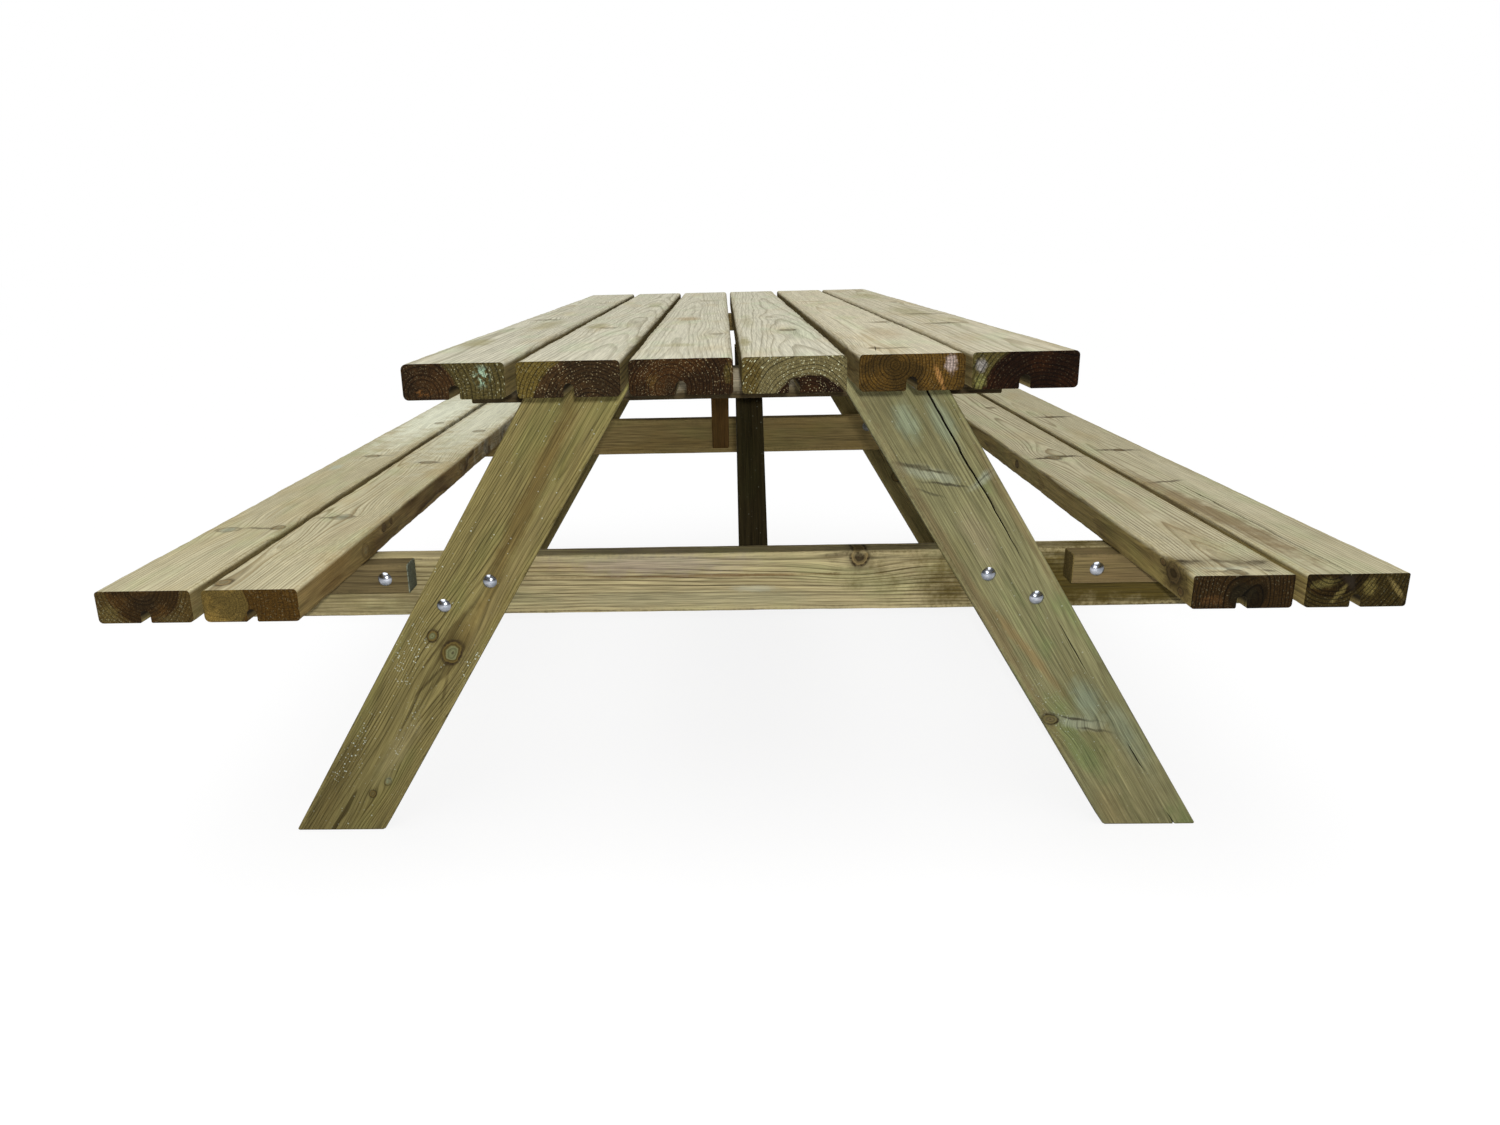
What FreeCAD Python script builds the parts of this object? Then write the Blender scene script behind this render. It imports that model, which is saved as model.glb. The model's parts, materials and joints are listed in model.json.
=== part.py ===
import FreeCAD, Part
import math
import os

# Timber picnic table: two A-frames carry a tabletop of six boards, and a two-board bench on
# each side folds up on pivot bolts.
# Frame, millimetres: X across the table, Y along it, Z up; the origin is on the ground under
# the middle. "near" is the end at -Y and "far" the end at +Y; "left" is -X and "right" is +X.

Vec = FreeCAD.Vector
X_AXIS = Vec(1, 0, 0)
Y_AXIS = Vec(0, 1, 0)
Z_AXIS = Vec(0, 0, 1)
CENTRE = Vec(0, 0, 0)

# ---- driving dimensions -------------------------------------------------------------------
table_length = 1800.0
table_height = 715.0
seat_height = 457.0

board_width = 115.0
board_thickness = 40.0
board_edge_radius = 6.0
groove_width = 12.0             # relief groove, with a round top, under the middle of a board
groove_depth = 15.5

tabletop_board_centres = (-313.7, -186.2, -61.8, 62.8, 190.9, 313.7)
inner_seat_centre = 579.0
outer_seat_centre = 707.5

frame_thickness = 38.0          # legs, bearers, battens and pivot blocks
frame_edge_radius = 3.0
leg_width = 115.0
leg_face_y = 671.0              # the legs' outer faces, from the middle of the table
leg_foot_x = 671.4              # the leg's outer edge where it meets the ground
leg_head_x = 263.0              # the same edge, under the tabletop
foot_chamfer = 3.0

bearer_height = 87.0
bearer_half_length = 745.0
batten_height = 41.0
batten_half_length = 359.0

block_height = 41.5
block_inner_x = 460.0
block_outer_x = 749.0
pivot_x = 493.4
pivot_above_block = 21.0        # pivot bolt above the underside of its block
bench_gap = 0.4                 # play between a folding bench and the fixed frame

brace_width = 42.0
brace_depth = 40.0              # across its slope, which is 45 degrees
brace_centre_x = 25.0
brace_foot_z = 341.0            # where its lower face meets the bearer

leg_bearer_bolts = ((414.0, 356.0), (346.0, 391.0))     # X and Z on a right-hand leg
leg_batten_bolt_x = (176.0, 240.0)
leg_batten_bolt_z = 656.0

bolt_radius = 4.0               # M8 carriage bolts
bolt_head_radius = 10.0
bolt_head_height = 4.6
bolt_neck_side = 8.0
bolt_neck_length = 4.0
bolt_proud = 4.0                # thread standing out of the nut
bolt_tip_chamfer = 1.0
bolt_hole_radius = 4.3
neck_pocket_side = 8.2
pivot_hole_radius = 4.08        # running fit of the pivot bolts in the bearers
nut_across_flats = 13.0
nut_height = 6.5
nut_hole_radius = 4.05
washer_radius = 12.0
washer_hole_radius = 4.2
washer_thickness = 1.6

screw_radius = 2.5              # 5 mm countersunk wood screws
screw_head_radius = 4.8
screw_head_height = 2.8
screw_point_length = 6.0
screw_point_radius = 0.4
screw_clearance = 0.1
screw_offset = 28.0             # each side of a board's middle, clear of its groove
batten_screw_length = 70.0
block_screw_length = 70.0
brace_screw_length = 50.0
brace_screw_angle = 30.0        # between a pocket screw and the side of the brace
brace_screw_reach = 18.0        # from the end of the brace to the middle of the pocket
brace_screw_spread = 8.0        # each side of the middle of the brace
pocket_clearance = 0.6

# ---- derived dimensions -------------------------------------------------------------------
half_length = table_length / 2
board_top_underside = table_height - board_thickness
seat_underside = seat_height - board_thickness
block_bottom = seat_underside - block_height
pivot_z = block_bottom + pivot_above_block
bearer_top = seat_underside - bench_gap
bearer_bottom = bearer_top - bearer_height
batten_bottom = board_top_underside - batten_height
leg_back_y = leg_face_y - frame_thickness
bearer_back_y = leg_back_y - frame_thickness
frame_grip = 2 * frame_thickness
lean = math.atan2(leg_foot_x - leg_head_x, board_top_underside)
leg_width_flat = leg_width / math.cos(lean)
brace_foot_height = brace_depth / math.sin(math.radians(45))
brace_run = board_top_underside - brace_foot_z

LEFT, RIGHT = -1, 1
NEAR, FAR = -1, 1
SIDES = (("left", LEFT), ("right", RIGHT))
ENDS = (("near", NEAR), ("far", FAR))


# ---- shape helpers ------------------------------------------------------------------------
def box(x_low, x_high, y_low, y_high, z_low, z_high):
    """A box between two corners."""
    corner = Vec(x_low, y_low, z_low)
    return Part.makeBox(x_high - x_low, y_high - y_low, z_high - z_low, corner)


def end_layer(x_low, x_high, end, y_outer, y_inner, z_low, z_high):
    """A box between two distances from the middle of the table, at one end of it."""
    y_low, y_high = sorted((end * y_outer, end * y_inner))
    return box(x_low, x_high, y_low, y_high, z_low, z_high)


def prism(points, thickness):
    """A solid from an outline of points, swept by the thickness vector."""
    return Part.Face(Part.makePolygon(points + points[:1])).extrude(thickness)


def is_along(edge, axis):
    """Whether an edge is straight and parallel to an axis."""
    if not isinstance(edge.Curve, Part.Line):
        return False
    return abs(edge.tangentAt(edge.FirstParameter).dot(axis)) > 1 - 1e-6


def rounded_along(shape, axis, radius):
    """The shape with its edges along an axis rounded."""
    return shape.makeFillet(radius, [edge for edge in shape.Edges if is_along(edge, axis)])


def turned_half(shape):
    """The shape turned by half a turn about Z."""
    copy = shape.copy()
    copy.rotate(CENTRE, Z_AXIS, 180)
    return copy


def stand(shape, seat, direction):
    """A fastener or its hole, made along +Z from the origin, stood on its seat."""
    placed = shape.copy()
    placed.Placement = FreeCAD.Placement(seat, FreeCAD.Rotation(Z_AXIS, direction))
    return placed


def save(name, solids):
    """Write one node's solids to its file."""
    Part.makeCompound(solids).exportStep("parts/" + name + ".step")


# ---- fasteners ----------------------------------------------------------------------------
def carriage_bolt(grip):
    """A domed head below the origin, and a square neck and shank above it."""
    dome_radius = (bolt_head_radius ** 2 + bolt_head_height ** 2) / (2 * bolt_head_height)
    dome = Part.makeSphere(dome_radius, Vec(0, 0, dome_radius - bolt_head_height))
    reach = bolt_head_radius
    head = dome.common(box(-reach, reach, -reach, reach, -bolt_head_height, 0))
    half_neck = bolt_neck_side / 2
    neck = box(-half_neck, half_neck, -half_neck, half_neck, 0, bolt_neck_length)
    length = grip + washer_thickness + nut_height + bolt_proud
    shank = Part.makeCylinder(bolt_radius, length)
    tip = [edge for edge in shank.Edges if edge.BoundBox.ZMin > length / 2]
    shank = shank.makeChamfer(bolt_tip_chamfer, tip)
    return head.fuse([neck, shank]).removeSplitter()


def bolt_hole(grip, radius):
    """The hole for a carriage bolt, with the pocket of its square neck."""
    half_neck = neck_pocket_side / 2
    pocket = box(-half_neck, half_neck, -half_neck, half_neck, 0, bolt_neck_length)
    return pocket.fuse(Part.makeCylinder(radius, grip))


def washer():
    """A plain washer."""
    bore = Part.makeCylinder(washer_hole_radius, washer_thickness)
    return Part.makeCylinder(washer_radius, washer_thickness).cut(bore)


def nut():
    """A hexagon nut with its upper corners turned off."""
    corner_radius = nut_across_flats / math.sqrt(3)
    corners = []
    for step in range(6):
        turn = math.radians(60 * step)
        corners.append(Vec(corner_radius * math.cos(turn), corner_radius * math.sin(turn), 0))
    hexagon = prism(corners, Vec(0, 0, nut_height))
    bevel = corner_radius - nut_across_flats / 2
    straight = nut_height - bevel
    turning = Part.makeCylinder(corner_radius, straight)
    turning = turning.fuse(Part.makeCone(corner_radius, nut_across_flats / 2 - bevel, 2 * bevel,
                                         Vec(0, 0, straight)))
    return hexagon.common(turning).cut(Part.makeCylinder(nut_hole_radius, nut_height))


def wood_screw(length):
    """A countersunk screw with its head flush at the origin."""
    head = Part.makeCone(screw_head_radius, screw_radius, screw_head_height)
    shank_top = length - screw_point_length
    shank = Part.makeCylinder(screw_radius, shank_top)
    point = Part.makeCone(screw_radius, screw_point_radius, screw_point_length,
                          Vec(0, 0, shank_top))
    return head.fuse([shank, point]).removeSplitter()


def screw_hole(length, pocket=None):
    """The countersunk hole of a wood screw, and the round pocket (radius, depth) it starts in."""
    radius = screw_radius + screw_clearance
    head_radius = screw_head_radius + screw_clearance
    hole = Part.makeCone(head_radius, radius, screw_head_height)
    hole = hole.fuse(Part.makeCylinder(radius, length + screw_clearance))
    if pocket:
        radius, depth = pocket
        hole = hole.fuse(Part.makeCylinder(radius, depth, Vec(0, 0, -depth)))
    return hole


# ---- where the fasteners go: lists of (seat, direction) ------------------------------------
def bolt_seats(points, sides, y_seat):
    """Seats for bolts, washers or nuts, pointing at the middle of the table."""
    seats = []
    for _, end in ENDS:
        for side in sides:
            for x, z in points:
                seats.append((Vec(side * x, end * y_seat, z), Vec(0, -end, 0)))
    return seats


def screw_seats(board_centres, y_seat, z_seat):
    """Seats for screws driven up into boards, two for each board at each end."""
    seats = []
    for _, end in ENDS:
        for centre in board_centres:
            for offset in (-screw_offset, screw_offset):
                seats.append((Vec(centre + offset, end * y_seat, z_seat), Z_AXIS))
    return seats


def at_seats(shape, seats):
    """One copy of a fastener, or of its hole, at each seat."""
    return [stand(shape, seat, direction) for seat, direction in seats]


def bench_centres(side):
    """The centres of the two boards of one bench."""
    return (side * inner_seat_centre, side * outer_seat_centre)


both_sides = (LEFT, RIGHT)
batten_bolts = tuple((x, leg_batten_bolt_z) for x in leg_batten_bolt_x)
pivot_points = ((pivot_x, pivot_z),)
pivot_grip = frame_grip + bench_gap
bearer_middle_y = (leg_back_y + bearer_back_y) / 2
block_middle_y = (leg_face_y + leg_back_y) / 2

leg_bolt_seats = bolt_seats(leg_bearer_bolts, both_sides, leg_face_y)
batten_bolt_seats = bolt_seats(batten_bolts, both_sides, leg_face_y)
leg_bolt_holes = at_seats(bolt_hole(frame_grip, bolt_hole_radius),
                          leg_bolt_seats + batten_bolt_seats)
tabletop_screw_seats = screw_seats(tabletop_board_centres, bearer_middle_y, batten_bottom)
tabletop_screw_holes = at_seats(screw_hole(batten_screw_length), tabletop_screw_seats)

# Two pocket screws hold each end of a brace, one through each side. At the foot they run towards
# the bearer, and at the head they run up into the board above; both ends are cut alike.
slant = math.radians(brace_screw_angle)
brace_screw_sink = screw_head_radius / math.tan(slant)
pocket_radius = screw_head_radius + pocket_clearance
pocket_depth = brace_screw_sink + pocket_radius / math.tan(slant)
brace_pocket_middle = brace_foot_height / 2 + brace_screw_reach
near_brace_screw_seats = []
for side in (LEFT, RIGHT):
    pocket_x = brace_centre_x + side * brace_width / 2
    across_brace = brace_pocket_middle + side * brace_screw_spread
    foot_mouth = Vec(pocket_x, brace_screw_reach - bearer_back_y, brace_foot_z + across_brace)
    head_mouth = Vec(pocket_x, brace_run - across_brace - bearer_back_y,
                     board_top_underside - brace_screw_reach)
    for mouth, ahead in ((foot_mouth, -Y_AXIS), (head_mouth, Z_AXIS)):
        direction = ahead * math.cos(slant) - X_AXIS * side * math.sin(slant)
        near_brace_screw_seats.append((mouth + direction * brace_screw_sink, direction))
near_brace_holes = at_seats(screw_hole(brace_screw_length, (pocket_radius, pocket_depth)),
                            near_brace_screw_seats)
brace_screw_holes = near_brace_holes + [turned_half(hole) for hole in near_brace_holes]


# ---- timber -------------------------------------------------------------------------------
def board(centre, top, holes):
    """A full-length board with rounded edges and a relief groove along its underside."""
    half_width = board_width / 2
    bottom = top - board_thickness
    plank = box(centre - half_width, centre + half_width, -half_length, half_length, bottom, top)
    plank = rounded_along(plank, Y_AXIS, board_edge_radius)
    groove_radius = groove_width / 2
    arch_z = bottom + groove_depth - groove_radius
    groove = box(centre - groove_radius, centre + groove_radius, -half_length, half_length,
                 bottom, arch_z)
    arch = Part.makeCylinder(groove_radius, table_length, Vec(centre, -half_length, arch_z),
                             Y_AXIS)
    return plank.cut([groove.fuse(arch)] + holes)


def leg(side, end):
    """A leaning leg, cut level at its foot and under the tabletop."""
    y_low = min(end * leg_face_y, end * leg_back_y)
    chamfer_x = foot_chamfer * math.tan(lean)
    foot_inner_x = leg_foot_x - leg_width_flat
    corners = [
        (leg_foot_x - foot_chamfer, 0),
        (leg_foot_x - chamfer_x, foot_chamfer),
        (leg_head_x, board_top_underside),
        (leg_head_x - leg_width_flat, board_top_underside),
        (foot_inner_x - chamfer_x, foot_chamfer),
        (foot_inner_x + foot_chamfer, 0),
    ]
    outline = [Vec(side * x, y_low, z) for x, z in corners]
    plank = prism(outline, Vec(0, frame_thickness, 0))
    grain = Vec(-side * math.sin(lean), 0, math.cos(lean))
    return rounded_along(plank, grain, frame_edge_radius).cut(leg_bolt_holes)


def bearer(end):
    """The long rail across both legs that the benches rest on."""
    rail = end_layer(-bearer_half_length, bearer_half_length, end, leg_back_y, bearer_back_y,
                     bearer_bottom, bearer_top)
    rail = rounded_along(rail, X_AXIS, frame_edge_radius)
    pivot_holes = at_seats(Part.makeCylinder(pivot_hole_radius, frame_thickness),
                           bolt_seats(pivot_points, both_sides, leg_back_y))
    return rail.cut(leg_bolt_holes + pivot_holes + brace_screw_holes)


def batten(end):
    """The rail under the tabletop boards."""
    rail = end_layer(-batten_half_length, batten_half_length, end, leg_back_y, bearer_back_y,
                     batten_bottom, board_top_underside)
    rail = rounded_along(rail, X_AXIS, frame_edge_radius)
    return rail.cut(leg_bolt_holes + tabletop_screw_holes)


def pivot_block(side, end, holes):
    """The short rail under one end of a bench, which turns on its pivot bolt."""
    x_low, x_high = sorted((side * block_inner_x, side * block_outer_x))
    rail = end_layer(x_low, x_high, end, leg_face_y, leg_back_y + bench_gap, block_bottom,
                     seat_underside)
    return rounded_along(rail, X_AXIS, frame_edge_radius).cut(holes)


def near_brace():
    """The sloping brace from the near bearer to the underside of a tabletop board."""
    x_low = brace_centre_x - brace_width / 2
    foot_y = -bearer_back_y
    outline = [
        Vec(x_low, foot_y, brace_foot_z),
        Vec(x_low, foot_y, brace_foot_z + brace_foot_height),
        Vec(x_low, foot_y + brace_run - brace_foot_height, board_top_underside),
        Vec(x_low, foot_y + brace_run, board_top_underside),
    ]
    strut = prism(outline, Vec(brace_width, 0, 0))
    slope = Vec(0, 1, 1).normalize()
    return rounded_along(strut, slope, frame_edge_radius).cut(near_brace_holes)


# ---- the table ----------------------------------------------------------------------------
os.makedirs("parts", exist_ok=True)

for number, centre in enumerate(tabletop_board_centres, start=1):
    plank = board(centre, table_height, tabletop_screw_holes + brace_screw_holes)
    save("tabletop_board_%d" % number, [plank])

for end_name, end in ENDS:
    save(end_name + "_seat_bearer", [bearer(end)])
    save(end_name + "_top_batten", [batten(end)])
    for side_name, side in SIDES:
        save(end_name + "_" + side_name + "_leg", [leg(side, end)])

save("near_brace", [near_brace()])
save("far_brace", [turned_half(near_brace())])

save("bearer_bolts", at_seats(carriage_bolt(frame_grip), leg_bolt_seats))
save("batten_bolts", at_seats(carriage_bolt(frame_grip), batten_bolt_seats))
for rail_name, points in (("bearer", leg_bearer_bolts), ("batten", batten_bolts)):
    washer_y = bearer_back_y
    nut_y = bearer_back_y - washer_thickness
    save(rail_name + "_bolt_washers", at_seats(washer(), bolt_seats(points, both_sides, washer_y)))
    save(rail_name + "_bolt_nuts", at_seats(nut(), bolt_seats(points, both_sides, nut_y)))

save("tabletop_screws", at_seats(wood_screw(batten_screw_length), tabletop_screw_seats))
near_brace_screws = at_seats(wood_screw(brace_screw_length), near_brace_screw_seats)
save("brace_screws", near_brace_screws + [turned_half(screw) for screw in near_brace_screws])

for side_name, side in SIDES:
    seats = screw_seats(bench_centres(side), block_middle_y, block_bottom)
    holes = at_seats(screw_hole(block_screw_length), seats)
    save(side_name + "_inner_seat_board", [board(side * inner_seat_centre, seat_height, holes)])
    save(side_name + "_outer_seat_board", [board(side * outer_seat_centre, seat_height, holes)])
    save(side_name + "_bench_screws", at_seats(wood_screw(block_screw_length), seats))

    pivot_seats = bolt_seats(pivot_points, (side,), leg_face_y)
    pivot_holes = at_seats(bolt_hole(frame_thickness, bolt_hole_radius), pivot_seats)
    for end_name, end in ENDS:
        save(end_name + "_" + side_name + "_pivot_block",
             [pivot_block(side, end, holes + pivot_holes)])
    washer_y = bearer_back_y - bench_gap
    nut_y = washer_y - washer_thickness
    save(side_name + "_pivot_bolts", at_seats(carriage_bolt(pivot_grip), pivot_seats))
    save(side_name + "_pivot_washers",
         at_seats(washer(), bolt_seats(pivot_points, (side,), washer_y)))
    save(side_name + "_pivot_nuts", at_seats(nut(), bolt_seats(pivot_points, (side,), nut_y)))
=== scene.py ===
import functools
import json
import math
import random
from dataclasses import dataclass, field

import bmesh
import bpy
import numpy as np
from mathutils import Matrix, Vector, kdtree

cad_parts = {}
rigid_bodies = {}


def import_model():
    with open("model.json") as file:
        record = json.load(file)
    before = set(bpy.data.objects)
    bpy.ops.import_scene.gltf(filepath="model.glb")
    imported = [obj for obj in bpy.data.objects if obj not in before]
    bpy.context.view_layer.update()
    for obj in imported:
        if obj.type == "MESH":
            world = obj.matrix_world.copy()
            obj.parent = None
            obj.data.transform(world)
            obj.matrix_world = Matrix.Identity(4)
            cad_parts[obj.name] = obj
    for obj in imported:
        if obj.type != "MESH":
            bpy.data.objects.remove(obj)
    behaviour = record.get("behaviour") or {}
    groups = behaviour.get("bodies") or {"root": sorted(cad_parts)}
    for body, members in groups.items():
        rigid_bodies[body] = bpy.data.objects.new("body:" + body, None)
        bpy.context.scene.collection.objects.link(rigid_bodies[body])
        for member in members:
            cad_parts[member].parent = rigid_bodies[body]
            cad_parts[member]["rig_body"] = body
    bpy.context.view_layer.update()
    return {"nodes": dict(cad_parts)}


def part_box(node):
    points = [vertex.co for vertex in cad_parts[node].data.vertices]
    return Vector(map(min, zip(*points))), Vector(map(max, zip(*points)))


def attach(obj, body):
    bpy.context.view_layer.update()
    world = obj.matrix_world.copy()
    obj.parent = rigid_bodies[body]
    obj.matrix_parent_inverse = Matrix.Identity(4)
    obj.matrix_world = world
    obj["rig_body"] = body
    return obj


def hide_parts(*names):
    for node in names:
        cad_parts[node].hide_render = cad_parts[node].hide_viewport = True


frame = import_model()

MM = 0.001

# A treated-pine picnic table. Every timber is a mesh of its own in place of the plain CAD
# piece, with worn edges, drying cracks, drilled holes and a solid wood grain. Each timber is
# made in its own axes, in metres from its middle: x across its width, y along the grain and
# z out of its best face. How it looks is given in millimetres in the same axes.


# ---- camera, floor and light ----------------------------------------------------------------
CAMERA_PLACE = (-0.0145, -2.065, 0.829)
CAMERA_YAW_PITCH_ROLL = (1.85, 16.83, 1.39)
CAMERA_LENS = 25.24
CAMERA_SHIFT = (0.0372, 0.0033)
FLOOR_REACH = 40.0
FLOOR_AS_LIGHT = (0.55, 0.55, 0.55)
FLOOR_AS_SEEN = (0.13, 0.13, 0.13)
FLOOR_GLOW = 0.86
WORLD_AS_LIGHT = 0.14
SUN_TOWARDS = (0.05, 0.12, -1)
SUN_DEGREES = 70.0
SUN_STRENGTH = 3.0
LAMP_PLACE = (0.0, -2.1, 0.868)
LAMP_RADIUS = 0.012
LAMP_POWER = 72.0


def new_object(name, data):
    """An object made of some data, in the scene."""
    thing = bpy.data.objects.new(name, data)
    bpy.context.scene.collection.objects.link(thing)
    return thing


def add_camera():
    """The camera stands low in front of the near end, a little left of the middle."""
    yaw, pitch, roll = (math.radians(angle) for angle in CAMERA_YAW_PITCH_ROLL)
    ahead = Vector((-math.sin(yaw) * math.cos(pitch), math.cos(yaw) * math.cos(pitch),
                    -math.sin(pitch)))
    level = Vector((math.cos(yaw), math.sin(yaw), 0))
    down = ahead.cross(level)
    right = math.cos(roll) * level + math.sin(roll) * down
    up = right.cross(ahead)
    data = bpy.data.cameras.new("camera")
    data.sensor_width = 36.0
    data.lens = CAMERA_LENS
    data.shift_x, data.shift_y = CAMERA_SHIFT
    data.clip_end = 100.0
    camera = new_object("camera", data)
    rotation = Matrix((right, up, -ahead)).transposed().to_4x4()
    camera.matrix_world = Matrix.Translation(CAMERA_PLACE) @ rotation
    bpy.context.scene.camera = camera


def add_floor():
    """A plain white floor that throws light back up and shows only a faint shadow."""
    corners = [(x * FLOOR_REACH, y * FLOOR_REACH, 0)
               for x, y in ((-1, -1), (1, -1), (1, 1), (-1, 1))]
    data = bpy.data.meshes.new("floor")
    data.from_pydata(corners, [], [(0, 1, 2, 3)])
    floor = new_object("floor", data)
    g = Graph("pale_floor")
    seen = g.node("LightPath").outputs["Is Camera Ray"]
    g.surface({"Base Color": g.mix(seen, FLOOR_AS_LIGHT, FLOOR_AS_SEEN), "Roughness": 1.0,
               "Specular IOR Level": 0.0, "Emission Color": (1, 1, 1),
               "Emission Strength": g.product(seen, FLOOR_GLOW)})
    data.materials.append(g.material)


def add_lights():
    """A wide, soft sun overhead and a small round lamp beside the camera."""
    sun = new_object("overhead", bpy.data.lights.new("overhead", "SUN"))
    sun.data.angle = math.radians(SUN_DEGREES)
    sun.data.energy = SUN_STRENGTH
    sun.rotation_euler = Vector(SUN_TOWARDS).to_track_quat("-Z", "Y").to_euler()
    lamp = new_object("front", bpy.data.lights.new("front", "POINT"))
    lamp.data.shadow_soft_size = LAMP_RADIUS
    lamp.data.energy = LAMP_POWER
    lamp.location = LAMP_PLACE


def add_world():
    """White surroundings, dimmer as a light than they look."""
    world = bpy.data.worlds.new("studio")
    world.use_nodes = True
    nodes = world.node_tree.nodes
    background = nodes["Background"]
    background.inputs["Color"].default_value = (1, 1, 1, 1)
    path = nodes.new("ShaderNodeLightPath")
    strength = nodes.new("ShaderNodeMapRange")
    strength.inputs["To Min"].default_value = WORLD_AS_LIGHT
    strength.inputs["To Max"].default_value = 1.0
    world.node_tree.links.new(path.outputs["Is Camera Ray"], strength.inputs["Value"])
    world.node_tree.links.new(strength.outputs["Result"], background.inputs["Strength"])
    bpy.context.scene.world = world


# ---- how a timber looks ---------------------------------------------------------------------
@dataclass
class Crack:
    """A drying crack in the best face: the line it follows, as places across and along, the
    stretches along it that are open and how far, its width and its depth. Only a line whose
    places rise along the timber is followed; a falling one gives a straight crack, which runs
    at its last place across."""
    line: list
    stretches: list
    width: float = 1.6
    depth: float = 8.0


@dataclass
class Knot:
    """A knot: its middle across and along the face, its radius, how many times longer than
    wide it is, its turn in degrees, how dark it is, whether it shows on the sides in place of
    the best face, and the colour of its core."""
    across: float
    along: float
    radius: float
    long: float = 1.3
    turn: float = 0.0
    dark: float = 0.5
    sideways: bool = False
    core: tuple = (0.10, 0.06, 0.024)


@dataclass
class Stain:
    """A soft-edged patch of another colour, on the best face and the sides or on the near end
    grain: its middle, half its size each way, its colour and strength, its turn in degrees, and
    whether it is in specks."""
    across: float
    along: float
    wide: float
    long: float
    colour: tuple
    strength: float = 0.6
    turn: float = 0.0
    specks: bool = False


@dataclass
class Look:
    """How one timber grew and weathered, with painted light and shade among the colours and marks
    of a few timbers. Shape: the pith's place across and up from the middle, the rings' width, the
    pith's drift in mm per metre, the rings' wobble, their taper in mm per
    metre, the late wood's share of a ring, and the radius of the best face's edges. Colours:
    early and late wood, the same two where the sun bleached them, how strongly the grain, green
    and brown patches and pale specks show, and the end grain's heartwood (out to a radius from
    the pith) and sapwood, with their pores and how strongly the rings show. Then the marks."""
    seed: int
    pith: tuple = (0.0, -40.0)
    ring: float = 4.2
    drift: float = 0.0
    wobble: float = 9.0
    taper: float = 6.0
    line: float = 0.45
    upper_radius: float = 5.0
    early: tuple = (0.20, 0.155, 0.065)
    late: tuple = (0.105, 0.072, 0.026)
    bleached: tuple = ()
    grain: float = 0.8
    green: float = 0.3
    brown: float = 0.4
    heart: float = 0.0
    end_inner: tuple = (0.045, 0.027, 0.011)
    end_outer: tuple = (0.120, 0.095, 0.036)
    end_specks: float = 0.5
    sap_specks: float = 0.15
    end_lines: float = 1.0
    specks: float = 0.0
    knots: list = field(default_factory=list)
    cracks: list = field(default_factory=list)
    stains: list = field(default_factory=list)
    end_stains: list = field(default_factory=list)


# ---- timber shapes --------------------------------------------------------------------------
# lanes are the lines of points along the best face, and a crack draws those beside it along
LANE_MARGIN = 9 * MM
LANE_SPACING = 11 * MM
CRACK_CLEARANCE = 5 * MM
CRACK_PULL = 26 * MM
RING_SPACING = 12 * MM
CRACKED_RING_SPACING = 7 * MM
CORNER_STEPS = 5
LARGEST_RADIUS = 9 * MM
SAWN_BEVEL = 0.6 * MM
END_GRAIN_EDGE = 0.4 * MM
GROOVE_LIP = 1.2 * MM
# painted shade: a groove's walls take the near black of a crack's inside, as if deep in shadow
GROOVE_PAINTED_SHADE = 0.6  # a groove's walls are painted like a crack this far open


def wander(seed, wavelength, size):
    """A smooth, seeded curve: a few sine waves of shrinking size and wavelength added up."""
    source = random.Random(seed)
    waves = []
    for step in range(4):
        waves.append((size * 0.6 ** step, 2 * math.pi * 1.9 ** step / wavelength,
                      source.uniform(0, 2 * math.pi)))
    return lambda y: sum(a * math.sin(k * y + p) for a, k, p in waves)


def arc_points(middle, radius, start_degrees, steps):
    """Points on a quarter circle, anticlockwise."""
    points = []
    for step in range(steps + 1):
        angle = math.radians(start_degrees + 90 * step / steps)
        points.append((middle[0] + radius * math.cos(angle), middle[1] + radius * math.sin(angle)))
    return points


def opening(crack, y):
    """How far open a crack is at y, from 0 to 1."""
    widest = 0.0
    for start, end, most in crack.stretches:
        share = (y / MM - start) / (end - start)
        if 0 < share < 1:
            widest = max(widest, most * math.sin(math.pi * share) ** 0.6)
    return widest


def face_lanes(width, cracks, y):
    """Places across the best face, from +x to -x, with a V wherever a crack runs: (x, depth).
    The plain lanes are drawn along by a crack that leaves its home, its mean place across."""
    half = width / 2 - LANE_MARGIN
    count = max(2, round(2 * half / LANE_SPACING))
    plain = [half - 2 * half * step / count for step in range(count + 1)]
    lanes = []
    shifts = []
    for crack, sway in cracks:
        across = [a for a, _ in crack.line]
        along = [b for _, b in crack.line]
        home = sum(across) / len(across) * MM
        lane = float(np.interp(y / MM, along, across)) * MM + sway(y)
        share = opening(crack, y)
        half_width = max(0.12, crack.width / 2 * share) * MM
        lanes += [(lane + half_width, 0.0), (lane, crack.depth * share * MM),
                  (lane - half_width, 0.0)]
        shifts.append((home, lane - home))
    for x in plain:
        if all(abs(x - home) > CRACK_CLEARANCE for home, _ in shifts):
            for home, shift in shifts:
                x += shift * math.exp(-((x - home) / CRACK_PULL) ** 2)
            lanes.append((x, 0.0))
    return sorted(lanes, reverse=True)


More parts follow.
